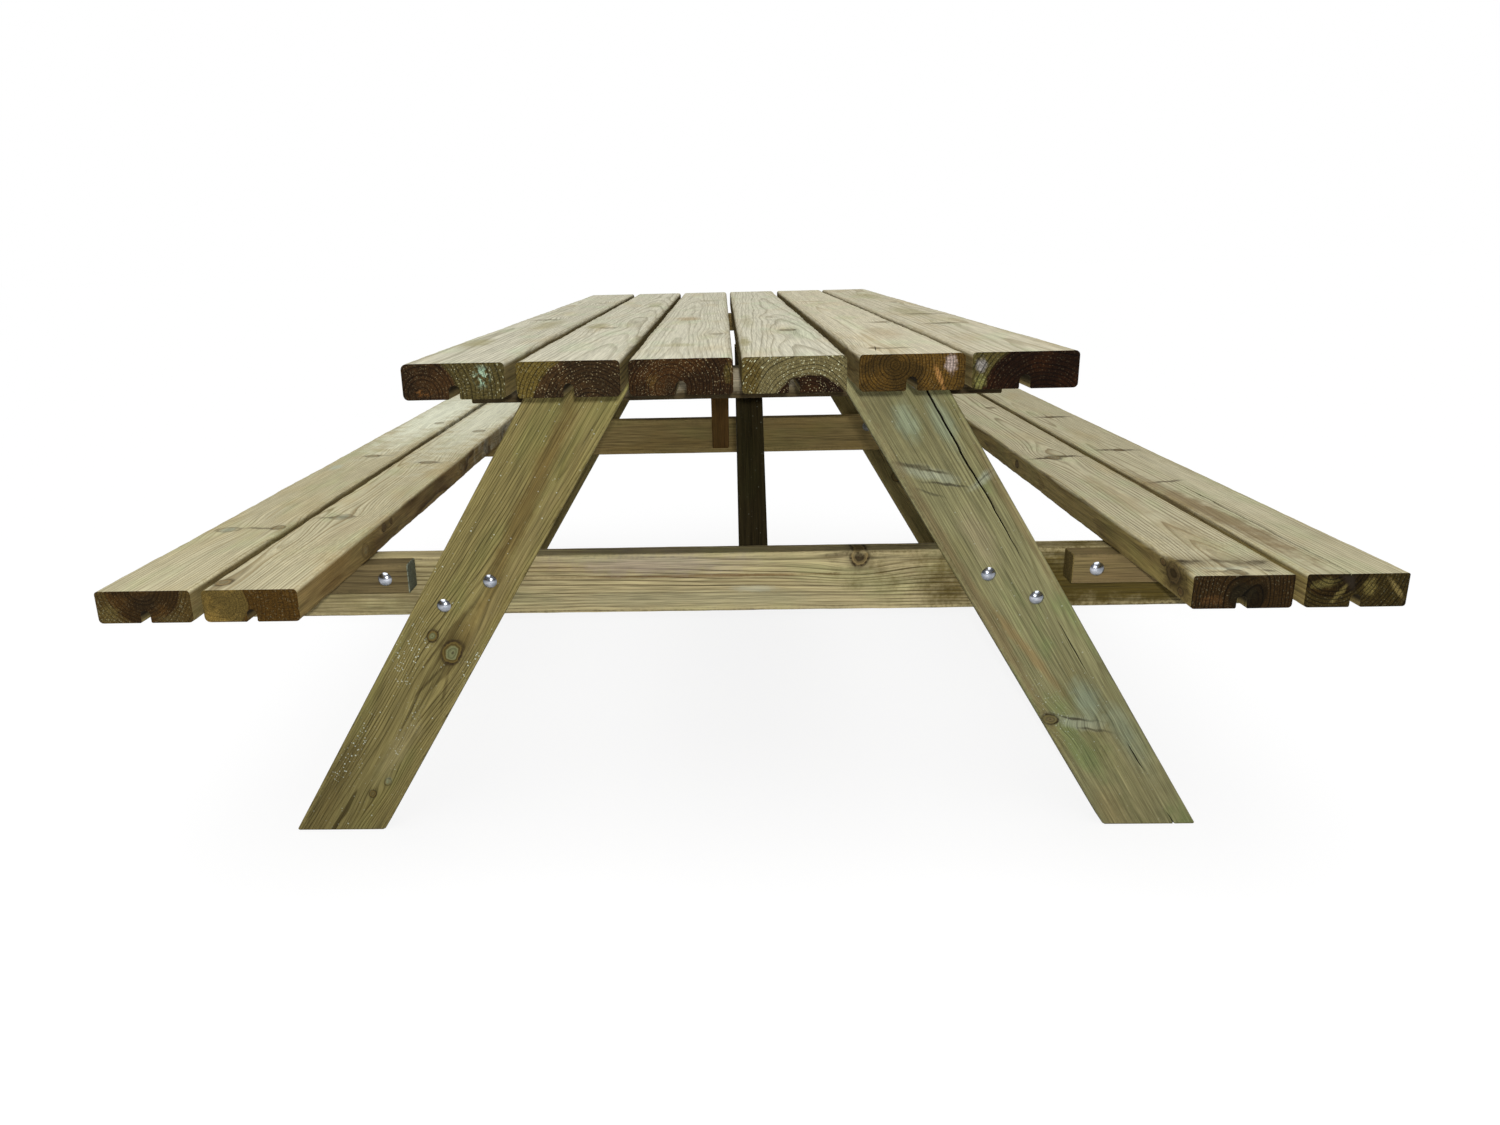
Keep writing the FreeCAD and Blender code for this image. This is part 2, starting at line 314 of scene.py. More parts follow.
def section(width, thickness, radii, groove, groove_painted_shade, cracks, y):
    """The outline of a timber at y, anticlockwise: (x, z, wear, crack) for each point. The radii
    go the same way round from the corner at +x and +z; the groove is (width, depth) or None."""
    half_w, half_t = width / 2, thickness / 2
    points = []

    def corner(sign_x, sign_z, radius, start):
        middle = (sign_x * (half_w - radius), sign_z * (half_t - radius))
        for x, z in arc_points(middle, radius, start, CORNER_STEPS):
            points.append((x, z, 1.0, 0.0))

    for step in range(1, 4):
        points.append((half_w, -half_t + thickness * step / 4, 0.0, 0.0))
    corner(1, 1, radii[0], 0)
    # a crack's V is filled with painted shade, darker where it is deeper
    for x, depth in face_lanes(width, cracks, y):
        points.append((x, half_t - depth, 0.0, min(1.0, depth / (2 * MM))))
    corner(-1, 1, radii[1], 90)
    for step in range(1, 4):
        points.append((-half_w, half_t - thickness * step / 4, 0.0, 0.0))
    corner(-1, -1, radii[2], 180)
    if groove:
        groove_half, depth = groove[0] / 2, groove[1]
        arch = arc_points((0, -half_t + depth - groove_half), groove_half, 90, CORNER_STEPS)
        left = [(-half_w / 2, -half_t, 0.0, 0.0), (-groove_half - GROOVE_LIP, -half_t, 0.5, 0.0),
                (-groove_half, -half_t + GROOVE_LIP, 0.5, 0.0)]
        # the groove's walls carry painted shade through the crack mark
        left += [(x, z, 0.0, groove_painted_shade) for x, z in reversed(arch)]
        points += left + [(-x, *rest) for x, *rest in reversed(left[:-1])]
    else:
        for share in (-0.5, 0.0, 0.5):
            points.append((share * half_w, -half_t, 0.0, 0.0))
    corner(1, -1, radii[3], 270)
    return points


def inset(points, distance):
    """The outline moved inwards."""
    flat = np.array([(p[0], p[1]) for p in points])
    ahead = np.roll(flat, -1, axis=0) - np.roll(flat, 1, axis=0)
    ahead /= np.maximum(np.linalg.norm(ahead, axis=1, keepdims=True), 1e-9)
    inward = np.stack([-ahead[:, 1], ahead[:, 0]], axis=1)
    moved = flat + distance * inward
    return [(x, z, p[2], p[3]) for (x, z), p in zip(moved, points)]


def timber_mesh(name, width, thickness, length, look, radius=3 * MM, groove=None,
                low_slope=(0, 0), high_slope=(0, 0), bevels=(SAWN_BEVEL, SAWN_BEVEL)):
    """A timber from end to end. The slopes lean its low and high end faces along x and z, and
    the bevels are theirs too."""
    step = CRACKED_RING_SPACING if look.cracks else RING_SPACING
    source = random.Random(look.seed)
    cracks = [(crack, wander(source.random(), 0.16, 0.7 * MM)) for crack in look.cracks]
    edges = [wander(source.random(), 0.5, 0.16) for _ in range(4)]
    chips = [wander(source.random(), 0.07, 0.10) for _ in range(4)]
    cup = wander(source.random(), 1.1, 0.12 * MM)
    count = round(length / step)
    upper = min(radius, look.upper_radius * MM)

    def ring(place, shrink, end_grain):
        share = place / length
        y = place - length / 2
        radii = [min(LARGEST_RADIUS, usual * max(0.5, 1 + edges[i](y) + chips[i](y)))
                 for i, usual in enumerate((upper, upper, radius, radius))]
        # painted shade on the groove's walls, left off on the end grain
        groove_painted_shade = GROOVE_PAINTED_SHADE * (1 - end_grain)
        outline = section(width, thickness, radii, groove, groove_painted_shade, cracks, y)
        if shrink:
            outline = inset(outline, shrink)
        row = []
        for x, z, wear, crack in outline:
            low = -length / 2 + low_slope[0] * x + low_slope[1] * z
            high = length / 2 + high_slope[0] * x + high_slope[1] * z
            bend = cup(y) * (1 - (2 * x / width) ** 2)
            row.append(((x, low + share * (high - low), z + bend), wear, crack, end_grain))
        return row

    low_bevel, high_bevel = bevels
    rows = [ring(0.0, 0.85 * low_bevel, 1.0), ring(low_bevel, 0.0, 1.0),
            ring(low_bevel + END_GRAIN_EDGE, 0.0, 0.0)]
    rows += [ring(i * length / count, 0.0, 0.0) for i in range(1, count)]
    rows += [ring(length - high_bevel - END_GRAIN_EDGE, 0.0, 0.0),
             ring(length - high_bevel, 0.0, 1.0), ring(length, 0.85 * high_bevel, 1.0)]
    around = len(rows[0])
    points = [item[0] for row in rows for item in row]
    faces = []
    for j in range(len(rows) - 1):
        for i in range(around):
            k = (i + 1) % around
            a, b = j * around + i, j * around + k
            faces.append((a, a + around, b + around, b))
    faces.append(tuple(range(around)))
    last = (len(rows) - 1) * around
    faces.append(tuple(last + i for i in reversed(range(around))))
    data = bpy.data.meshes.new(name)
    data.from_pydata(points, [], faces)
    write_marks(data, [item[1:] for row in rows for item in row])
    return data


def write_marks(data, marks):
    """Store each point's wear, crack and end grain, and its place in the timber."""
    for column, attribute in enumerate(("wear", "crack", "end_grain")):
        layer = data.attributes.get(attribute) or data.attributes.new(attribute, "FLOAT", "POINT")
        layer.data.foreach_set("value", [mark[column] for mark in marks])
    layer = data.attributes.get("grain") or data.attributes.new("grain", "FLOAT_VECTOR", "POINT")
    layer.data.foreach_set("vector", [c for vertex in data.vertices for c in vertex.co])


# ---- fasteners and their holes ----------------------------------------------------------------
BOLT_HOLE_RADIUS = 5.8 * MM
SCREW_RADIUS = 2.5 * MM
SCREW_HEAD_RADIUS = 4.8 * MM
SCREW_HEAD_HEIGHT = 2.8 * MM
SCREW_PLAY = 0.15 * MM
POCKET_RADIUS = 5.4 * MM
POCKET_DEPTH = 19 * MM
HOLE_SIDES = 24
SHARP_EDGE_DEGREES = 38


def separate_solids(node):
    """The points of each separate solid of a CAD node, as arrays."""
    shape = bmesh.new()
    shape.from_mesh(frame["nodes"][node].data)
    bmesh.ops.remove_doubles(shape, verts=shape.verts, dist=0.001 * MM)
    seen = set()
    solids = []
    for first in shape.verts:
        if first in seen:
            continue
        seen.add(first)
        found = [first]
        for vertex in found:
            for edge in vertex.link_edges:
                other = edge.other_vert(vertex)
                if other not in seen:
                    seen.add(other)
                    found.append(other)
        solids.append(np.array([vertex.co for vertex in found]))
    shape.free()
    return solids


@functools.cache
def fastener_lines(node):
    """Where each bolt or screw of a node begins, at its head, the way it points and its length."""
    lines = []
    for places in separate_solids(node):
        middle = places.mean(axis=0)
        axis = np.linalg.svd(places - middle)[2][0]
        along = (places - middle) @ axis
        out = np.linalg.norm(places - middle - np.outer(along, axis), axis=1)
        if along[out.argmax()] > 0:
            axis, along = -axis, -along
        start = middle + along.min() * axis
        lines.append((Vector(start), Vector(axis), float(along.max() - along.min())))
    return lines


def lathe(shape, place, profile, sides):
    """Add a turned solid to a bmesh: profile is (distance along z, radius) from end to end, and
    a third number there makes the radius swell six times round."""
    rows = []
    for z, radius, *swell in profile:
        row = []
        for step in range(sides if radius else 1):
            turn = 2 * math.pi * step / sides
            r = radius + sum(swell) * math.cos(6 * turn)
            row.append(shape.verts.new(place @ Vector((r * math.cos(turn), r * math.sin(turn), z))))
        rows.append(row)
    for low, high in zip(rows, rows[1:]):
        for i in range(sides):
            k = (i + 1) % sides
            corners = [low[i % len(low)], low[k % len(low)],
                       high[k % len(high)], high[i % len(high)]]
            shape.faces.new(list(dict.fromkeys(corners)))


def pointing(start, direction):
    """A place whose z axis points along a direction."""
    turn = direction.to_track_quat("Z", "Y").to_matrix().to_4x4()
    return Matrix.Translation(start) @ turn


def hole_profile(fastener, length):
    """A bolt's plain hole, or a screw's countersunk one. That starts a little outside the face
    or, for a brace's screws, in a round pocket."""
    if fastener.endswith("_bolts"):
        return [(0, 0), (0, BOLT_HOLE_RADIUS), (length, BOLT_HOLE_RADIUS), (length, 0)]
    radius, head = SCREW_RADIUS + SCREW_PLAY, SCREW_HEAD_RADIUS + SCREW_PLAY
    if fastener.startswith("brace"):
        start = [(-POCKET_DEPTH, 0), (-POCKET_DEPTH, POCKET_RADIUS), (0, POCKET_RADIUS)]
    else:
        start = [(-1 * MM, 0), (-1 * MM, head)]
    return start + [(0, head), (SCREW_HEAD_HEIGHT, radius), (length, radius), (length, 0)]


def holes_in(node, place):
    """All the holes that fasteners make in a timber, as one mesh in the timber's own axes."""
    low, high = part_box(node)
    shape = bmesh.new()
    to_timber = place.inverted()

    def meets(start, direction, length):
        end = start + length * direction
        return all(max(start[i], end[i]) > low[i] and min(start[i], end[i]) < high[i]
                   for i in range(3))

    for fastener in frame["nodes"]:
        if fastener.endswith(("_bolts", "_screws")):
            for start, direction, length in fastener_lines(fastener):
                if meets(start, direction, length):
                    lathe(shape, to_timber @ pointing(start, direction),
                          hole_profile(fastener, length), HOLE_SIDES)
    bmesh.ops.recalc_face_normals(shape, faces=shape.faces)
    data = bpy.data.meshes.new("holes")
    shape.to_mesh(data)
    shape.free()
    return data


def drilled(data, holes):
    """The timber's mesh with the holes cut out of it, keeping its marks."""
    if not holes.vertices:
        return data
    timber = new_object("undrilled", data)
    cutter = new_object("cutter", holes)
    cut = timber.modifiers.new("holes", "BOOLEAN")
    cut.object = cutter
    cut.operation = "DIFFERENCE"
    cut.solver = "EXACT"
    graph = bpy.context.evaluated_depsgraph_get()
    result = bpy.data.meshes.new_from_object(timber.evaluated_get(graph))
    old = kdtree.KDTree(len(data.vertices))
    for vertex in data.vertices:
        old.insert(vertex.co, vertex.index)
    old.balance()
    columns = [data.attributes[name].data for name in ("wear", "crack", "end_grain")]
    marks = []
    for vertex in result.vertices:
        _, index, distance = old.find(vertex.co)
        same = distance < 0.01 * MM
        marks.append([column[index].value if same else 0.0 for column in columns])
    write_marks(result, marks)
    for thing in (timber, cutter):
        bpy.data.objects.remove(thing)
    return result


def stand_in(data, node, kind, material):
    """Show a finished mesh, which is already in place, in its node's stead."""
    data.materials.clear()
    data.materials.append(material)
    piece = new_object(node + kind, data)
    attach(piece, frame["nodes"][node]["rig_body"])
    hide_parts(node)


def finish_timber(data, place, node, look, top_half=0.0):
    """Drill the timber and put it in its place, in its node's stead."""
    data = drilled(data, holes_in(node, place))
    data.name = node + "_timber"
    shape = bmesh.new()
    shape.from_mesh(data)
    bmesh.ops.triangulate(shape, faces=[f for f in shape.faces if len(f.verts) > 4])
    for face in shape.faces:
        face.smooth = True
        face.material_index = 0
    for edge in shape.edges:
        edge.smooth = (len(edge.link_faces) == 2
                       and edge.calc_face_angle(0) < math.radians(SHARP_EDGE_DEGREES))
    shape.to_mesh(data)
    shape.free()
    data.transform(place)
    stand_in(data, node, "_timber", timber_material(node + "_pine", look, top_half))


def axes_at(middle, grain, best_face):
    """A timber's place: its middle, the way its grain runs and the way its best face looks."""
    grain, best_face = Vector(grain).normalized(), Vector(best_face).normalized()
    across = grain.cross(best_face)
    turn = Matrix((across, grain, best_face)).transposed().to_4x4()
    return Matrix.Translation(middle) @ turn


# ---- materials --------------------------------------------------------------------------------
PALE_SPECK = (0.52, 0.56, 0.46)
HEART_PORE = (0.165, 0.138, 0.075)
SAP_PORE = (0.34, 0.34, 0.22)
STAIN_WAVE = 14.0  # how far, in mm, the fibres pull a stain's edges along
STAIN_BACK = (-17, -12)  # stains fade out between these heights, in mm from the middle
KNOT_RIM = (0.030, 0.020, 0.009)
KNOT_HEART = (0.035, 0.022, 0.011)
# painted shade: the near black laid inside cracks and on groove walls
CRACK_PAINTED_SHADE = (0.018, 0.013, 0.008)


class Graph:
    """Short words for building a material's nodes."""

    def __init__(self, name):
        self.material = bpy.data.materials.new(name)
        self.material.use_nodes = True
        self.tree = self.material.node_tree
        self.shader = self.tree.nodes["Principled BSDF"]

    def node(self, kind, inputs=(), **settings):
        node = self.tree.nodes.new("ShaderNode" + kind)
        for key, value in settings.items():
            setattr(node, key, value)
        self.put_all(node, inputs)
        return node

    def put_all(self, node, inputs):
        for key, value in dict(inputs).items():
            self.put(node.inputs[key], value)

    def surface(self, inputs):
        self.put_all(self.shader, inputs)

    def put(self, socket, value):
        if isinstance(value, bpy.types.NodeSocket):
            self.tree.links.new(value, socket)
        elif isinstance(value, tuple) and len(value) == 3 and socket.type == "RGBA":
            socket.default_value = (*value, 1)
        else:
            socket.default_value = value

    def math(self, operation, *values):
        return self.node("Math", enumerate(values), operation=operation).outputs[0]

    def vector(self, operation, *values):
        node = self.node("VectorMath", operation=operation)
        for index, value in enumerate(values):
            self.put(node.inputs["Scale" if operation == "SCALE" and index == 1 else index], value)
        return node.outputs["Value" if operation in ("LENGTH", "DOT_PRODUCT") else "Vector"]

    def combine(self, x, y, z):
        return self.node("CombineXYZ", {"X": x, "Y": y, "Z": z}).outputs[0]

    def separate(self, vector):
        return self.node("SeparateXYZ", {"Vector": vector}).outputs

    def attribute(self, name, output="Fac"):
        return self.node("Attribute", attribute_name=name).outputs[output]

    def noise(self, vector, scale=1.0, detail=2.0, roughness=0.5):
        inputs = {"Vector": vector, "Scale": scale, "Detail": detail, "Roughness": roughness}
        return self.node("TexNoise", inputs).outputs["Fac"]

    def streaks(self, vector, across, along, detail, mirror=1):
        """Noise with lumps of one size across the grain and another along it."""
        scale = (mirror / across, 1 / along, 1 / across)
        return self.noise(self.vector("MULTIPLY", vector, scale), detail=detail)

    def fade(self, value, low, high, to_low=0.0, to_high=1.0):
        inputs = {"Value": value, "From Min": low, "From Max": high, "To Min": to_low,
                  "To Max": to_high}
        return self.node("MapRange", inputs, interpolation_type="SMOOTHSTEP").outputs["Result"]

    def mix(self, share, first, second, blend="MIX"):
        node = self.node("Mix", data_type="RGBA", blend_type=blend)
        self.put(node.inputs["Factor"], share)
        self.put(node.inputs[6], first)
        self.put(node.inputs[7], second)
        return node.outputs[2]

    def shaded(self, colour, shade):
        return self.mix(1.0, colour, self.combine(shade, shade, shade), "MULTIPLY")

    def total(self, *values):
        return functools.reduce(functools.partial(self.math, "ADD"), values)

    def product(self, *values):
        return functools.reduce(functools.partial(self.math, "MULTIPLY"), values)

    def minus(self, first, second):
        return self.math("SUBTRACT", first, second)

    def bump(self, height, strength, distance):
        inputs = {"Height": height, "Strength": strength, "Distance": distance}
        return self.node("Bump", inputs).outputs["Normal"]

    def within(self, vector, across, along, wide, long, turn):
        """A place on a face in units of a mark's own size, from the mark's middle."""
        inputs = {"Vector": vector, "Location": (across, along, 0.0),
                  "Rotation": (0.0, 0.0, math.radians(turn)), "Scale": (wide, long, 1e6)}
        return self.node("Mapping", inputs, vector_type="TEXTURE").outputs[0]

    def dots(self, place, spacing, share, size):
        """Small scattered dots: a share of the cells has one of at most the size."""
        cells = self.node("TexVoronoi", {"Vector": place, "Scale": 1 / spacing})
        chance, scale, _ = self.separate(cells.outputs["Color"])
        edge = self.product(self.fade(scale, 0, 1, 0.4, 1.0), size / spacing)
        near = self.fade(self.math("DIVIDE", cells.outputs["Distance"], edge), 0.6, 1.0, 1.0, 0.0)
        return self.product(near, self.math("LESS_THAN", chance, share))


def tint(colour, *factors):
    """A colour made lighter, darker or warmer."""
    factors = factors * 3 if len(factors) == 1 else factors
    return tuple(min(1.0, c * f) for c, f in zip(colour, factors))


def timber_material(name, look, top_half):
    """Treated pine: growth rings round the pith, fibres, knots, dark end grain and stains, among
    them some painted light and shade, and painted shade in cracks and grooves. The face at top_half
    above the middle, if any, is bleached by the sun."""
    g = Graph(name)
    seeded = random.Random(look.seed * 7 + 1)
    shift = tuple(seeded.uniform(-400, 400) for _ in range(3))
    raw = g.vector("SCALE", g.attribute("grain", "Vector"), 1000.0)
    raw_x, raw_y, raw_z = g.separate(raw)
    face_place = g.combine(raw_x, raw_y, 0.0)
    side_place = g.combine(raw_z, raw_y, 0.0)
    end_place = g.combine(raw_x, raw_z, 0.0)
    raw_moved = g.vector("ADD", raw, shift)
    ragged = g.minus(g.noise(raw_moved, scale=0.16, detail=3, roughness=0.65), 0.5)
    slow_ragged = g.minus(g.noise(raw_moved, scale=0.03, detail=2), 0.5)

    # the grain bends round the knots
    point = raw
    knots = []
    for knot in look.knots:
        place = side_place if knot.sideways else face_place
        spot = g.within(place, knot.across, knot.along, knot.radius, knot.radius * knot.long,
                        knot.turn)
        u, v, _ = g.separate(spot)
        square = g.total(g.product(u, u), g.product(v, v, 0.16))
        pinch = g.math("EXPONENT", g.product(square, -0.19))
        push = g.product(u, pinch, -0.8 * knot.radius)
        offset = g.combine(0.0, 0.0, push) if knot.sideways else g.combine(push, 0.0, 0.0)
        point = g.vector("ADD", point, offset)
        rough = g.total(g.vector("LENGTH", spot), g.product(slow_ragged, 1.1),
                        g.product(ragged, 0.35))
        knots.append((knot, rough, g.total(g.product(u, u), g.product(v, v))))
    x, y, z = g.separate(point)
    moved = g.vector("ADD", point, shift)

    # growth rings
    slow = g.streaks(moved, 75, 480, 1)
    quick = g.streaks(moved, 12, 110, 1)
    pith_x = g.total(x, -look.pith[0], g.product(y, -look.drift / 1000))
    pith_z = g.minus(z, look.pith[1])
    reach = g.total(g.vector("LENGTH", g.combine(pith_x, 0.0, pith_z)),
                    g.product(g.minus(slow, 0.5), 2 * look.wobble),
                    g.product(g.minus(quick, 0.5), 2.0),
                    g.product(y, look.taper / 1000))
    turns = g.math("DIVIDE", reach, look.ring)
    uneven = g.noise(g.combine(turns, shift[0], 0.0), scale=0.55, detail=1)
    turns = g.total(turns, g.product(uneven, 0.8))
    part = g.math("FRACT", turns)
    late = g.product(g.fade(part, 1.0 - 1.25 * look.line, 0.90), g.fade(part, 0.92, 1.0, 1.0, 0.0))
    year = g.node("TexWhiteNoise", {"W": g.math("FLOOR", turns)}, noise_dimensions="1D")
    late = g.product(late, g.fade(year.outputs["Value"], 0.0, 1.0, 0.55, 1.0))

    # fibres and streaks along the grain, and broad patches
    fibre = g.streaks(moved, 0.8, 55, 2)
    streak = g.streaks(moved, 4, 240, 3)
    patch = g.streaks(raw_moved, 45, 130, 3)
    patch_two = g.streaks(raw_moved, 60, 200, 3, -1)
    shade = g.total(g.fade(fibre, 0.3, 0.7, 0.66, 1.24), g.fade(streak, 0.3, 0.7, -0.18, 0.16))

    def face_colour(early, late_colour):
        colour = g.mix(g.product(late, look.grain), early, late_colour)
        green = g.fade(patch, 0.48, 0.70, 0.0, look.green)
        colour = g.mix(green, colour, tint(early, 0.78, 0.98, 0.80))
        brown = g.fade(patch_two, 0.50, 0.74, 0.0, look.brown)
        return g.mix(brown, colour, tint(early, 0.82, 0.72, 0.55))

    colour = face_colour(look.early, look.late)
    if look.bleached:
        top = face_colour(*look.bleached)
        edge = g.total(raw_z, g.product(ragged, 3.0))
        topmost = g.fade(edge, top_half - 6.5, top_half - 1.0)
        colour = g.mix(topmost, colour, top)
        calm = g.minus(1.0, g.product(topmost, 0.45))
        shade = g.total(g.product(g.minus(shade, 1.0), calm), 1.0)
    colour = g.shaded(colour, shade)
    swell = g.streaks(raw_moved, 22, 160, 2)
    waved = g.vector("ADD", face_place, g.combine(0.0, g.product(swell, STAIN_WAVE), 0.0))
    in_front = g.fade(raw_z, *STAIN_BACK)
    for stain in look.stains:
        spot = g.within(waved, stain.across, stain.along + STAIN_WAVE / 2, stain.wide,
                        stain.long, stain.turn)
        distance = g.total(g.vector("LENGTH", spot), slow_ragged, g.product(ragged, 0.5))
        share = g.product(g.fade(distance, 0.25, 1.1, stain.strength, 0.0), in_front)
        if stain.specks:
            share = g.product(share, g.dots(raw_moved, 3.4, 0.55, 1.4))
            colour = g.mix(share, colour, stain.colour)
        else:
            colour = g.mix(share, colour, g.shaded(stain.colour, shade))
    if look.specks:
        thin = g.fade(slow_ragged, -0.1, 0.15, 0.15, 1.0)
        share = g.product(g.dots(raw_moved, 6.0, 0.4, 1.4), look.specks, thin)
        colour = g.mix(share, colour, PALE_SPECK)

    # knots: rings and a dark broken rim in darkened wood
    lump = 0.0
    for knot, distance, square in knots:
        surround = g.fade(distance, 0.9, 2.2, 0.4 * knot.dark, 0.0)
        colour = g.mix(surround, colour, tint(look.late, 0.8))
        rings = g.math("FRACT", g.product(distance, max(2.0, knot.radius / 4.5)))
        ring_shade = g.fade(rings, 0.2, 0.9, 1.12, 0.65)
        base = look.bleached[1] if look.bleached else look.early
        core = tuple(p + (d - p) * knot.dark
                     for p, d in zip(tint(base, 0.80, 0.90, 0.90), knot.core))
        body = g.fade(distance, 0.85, 1.0, min(0.9, 0.3 + 1.2 * knot.dark), 0.0)
        outer = tint(base, *(f * (1 - 0.45 * knot.dark) for f in (0.80, 0.68, 0.52)))
        inside = g.mix(g.fade(distance, 0.42, 0.60), core, outer)
        colour = g.mix(body, colour, g.shaded(inside, ring_shade))
        rim = g.product(g.fade(distance, 0.78, 0.95), g.fade(distance, 1.02, 1.30, 1.0, 0.0),
                        g.fade(ragged, -0.12, 0.1, 0.5, 1.0))
        colour = g.mix(g.product(rim, min(1.0, 0.4 + 0.9 * knot.dark)), colour, KNOT_RIM)
        heart = g.fade(square, 0.0, 0.05, 0.6 * knot.dark, 0.0)
        colour = g.mix(heart, colour, KNOT_HEART)
        lump = g.total(lump, g.product(rim, -1.4), g.product(body, rings, 0.5))

    # end grain: heartwood and sapwood, rings, rays and pale pores
    bearing = g.math("ARCTAN2", pith_z, pith_x)
    rays = g.noise(g.combine(g.product(bearing, 55.0), g.product(reach, 0.12), 0.0), detail=3,
                   roughness=0.7)
    straight = g.combine(g.minus(raw_x, look.pith[0]), 0.0, g.minus(raw_z, look.pith[1]))
    boundary = g.total(g.vector("LENGTH", straight), g.product(slow_ragged, 9.0),
                       g.product(ragged, 3.0))
    sapwood = g.fade(boundary, look.heart - 1.5, look.heart + 1.5)
    heartwood = g.mix(g.fade(slow_ragged, -0.04, 0.16), look.end_inner,
                      tint(look.end_inner, 2.0, 1.9, 1.7))
    end_colour = g.mix(sapwood, heartwood, look.end_outer)
    for stain in look.end_stains:
        spot = g.within(end_place, stain.across, stain.along, stain.wide, stain.long, stain.turn)
        distance = g.total(g.vector("LENGTH", spot), g.product(ragged, 1.6))
        share = g.product(g.fade(distance, 0.4, 1.1, stain.strength, 0.0),
                          g.math("LESS_THAN", raw_y, 0.0))
        if stain.specks:
            share = g.product(share, g.fade(ragged, -0.06, 0.06))
        end_colour = g.mix(share, end_colour, stain.colour)
    grit = g.noise(raw_moved, scale=0.8, detail=2)
    lines = g.fade(late, 0.1, 0.9, 1 + 0.25 * look.end_lines, 1 - 0.6 * look.end_lines)
    end_colour = g.shaded(end_colour, g.product(lines, g.fade(rays, 0.3, 0.7, 0.60, 1.40),
                                                g.fade(grit, 0.3, 0.7, 0.65, 1.35)))
    pore_place = g.combine(g.product(bearing, 34.0), g.product(reach, 0.8), shift[1])
    pores = g.product(g.dots(pore_place, 1.5, 0.6, 0.7), g.fade(late, 0.2, 0.6, 1.0, 0.2),
                      g.fade(slow_ragged, -0.2, 0.08, 0.15, 1.0),
                      g.fade(sapwood, 0.0, 1.0, look.end_specks, look.sap_specks))
    end_colour = g.mix(pores, end_colour, g.mix(sapwood, HEART_PORE, SAP_PORE))
    end_grain = g.attribute("end_grain")
    colour = g.mix(end_grain, colour, end_colour)

    # worn arrises, and painted shade inside cracks and on the groove's walls
    wear = g.product(g.attribute("wear"), g.fade(ragged, -0.12, 0.1, 0.05, 0.35),
                     g.minus(1.0, end_grain))
    colour = g.mix(wear, colour, tint(look.early, 1.25))
    crack = g.attribute("crack")
    colour = g.mix(g.fade(crack, 0.0, 0.7), colour, CRACK_PAINTED_SHADE)
    rough = g.total(g.fade(fibre, 0.2, 0.8, 0.60, 0.78), g.product(end_grain, 0.12))

    # relief
    face_height = g.total(g.product(late, 0.9), g.product(fibre, 0.9), g.product(streak, 0.6),
                          lump)
    end_height = g.total(g.product(rays, 1.4), g.product(ragged, 2.2), g.product(late, 0.6))
    height = g.total(g.product(face_height, g.minus(1.0, end_grain)),
                     g.product(end_height, end_grain))
    g.surface({"Base Color": colour, "Roughness": rough, "Specular IOR Level": 0.06,
               "Normal": g.bump(height, 0.6, 0.6 * MM)})
    return g.material


def zinc_material(name, dark, light, roughness):
    """Zinc plating with fine scratches and a cloudy tint."""
    g = Graph(name)
    place = g.node("TexCoord").outputs["Object"]
    cloud = g.noise(place, scale=160.0, detail=3)
    scratch = g.noise(g.vector("MULTIPLY", place, (900.0, 900.0, 4000.0)), detail=2)
    g.surface({"Base Color": g.mix(g.fade(cloud, 0.35, 0.65), dark, light), "Metallic": 1.0,
               "Roughness": g.fade(scratch, 0.2, 0.8, roughness, 2 * roughness),
               "Normal": g.bump(cloud, 0.3, 0.4 * MM)})
    return g.material


# ---- the boards of the top and the benches ----------------------------------------------------
BOARD_RADIUS = 5 * MM
BOARD_GROOVE = (12 * MM, 15.5 * MM)
# early and late wood where the sun has bleached it
TOP = ((0.567, 0.540, 0.418), (0.321, 0.294, 0.209))
TOP_WARM = ((0.588, 0.543, 0.401), (0.377, 0.319, 0.206))
TOP_DARK = ((0.539, 0.496, 0.366), (0.341, 0.300, 0.194))
SEAT = ((0.460, 0.418, 0.272), (0.265, 0.216, 0.120))
SEAT_DARK = ((0.415, 0.378, 0.250), (0.190, 0.152, 0.085))
RIGHT_SEAT_SIDE = dict(early=(0.220, 0.168, 0.062), late=(0.100, 0.070, 0.026))
OLIVE = (0.33, 0.30, 0.16)
DEEP_OLIVE = (0.27, 0.21, 0.11)
BLUE_GREY = (0.37, 0.43, 0.35)
TAN = (0.38, 0.30, 0.18)
GREY_LINE = (0.115, 0.095, 0.055)
CROSS_LINE = (0.060, 0.045, 0.024)
BLACK_CORE = (0.03, 0.02, 0.008)

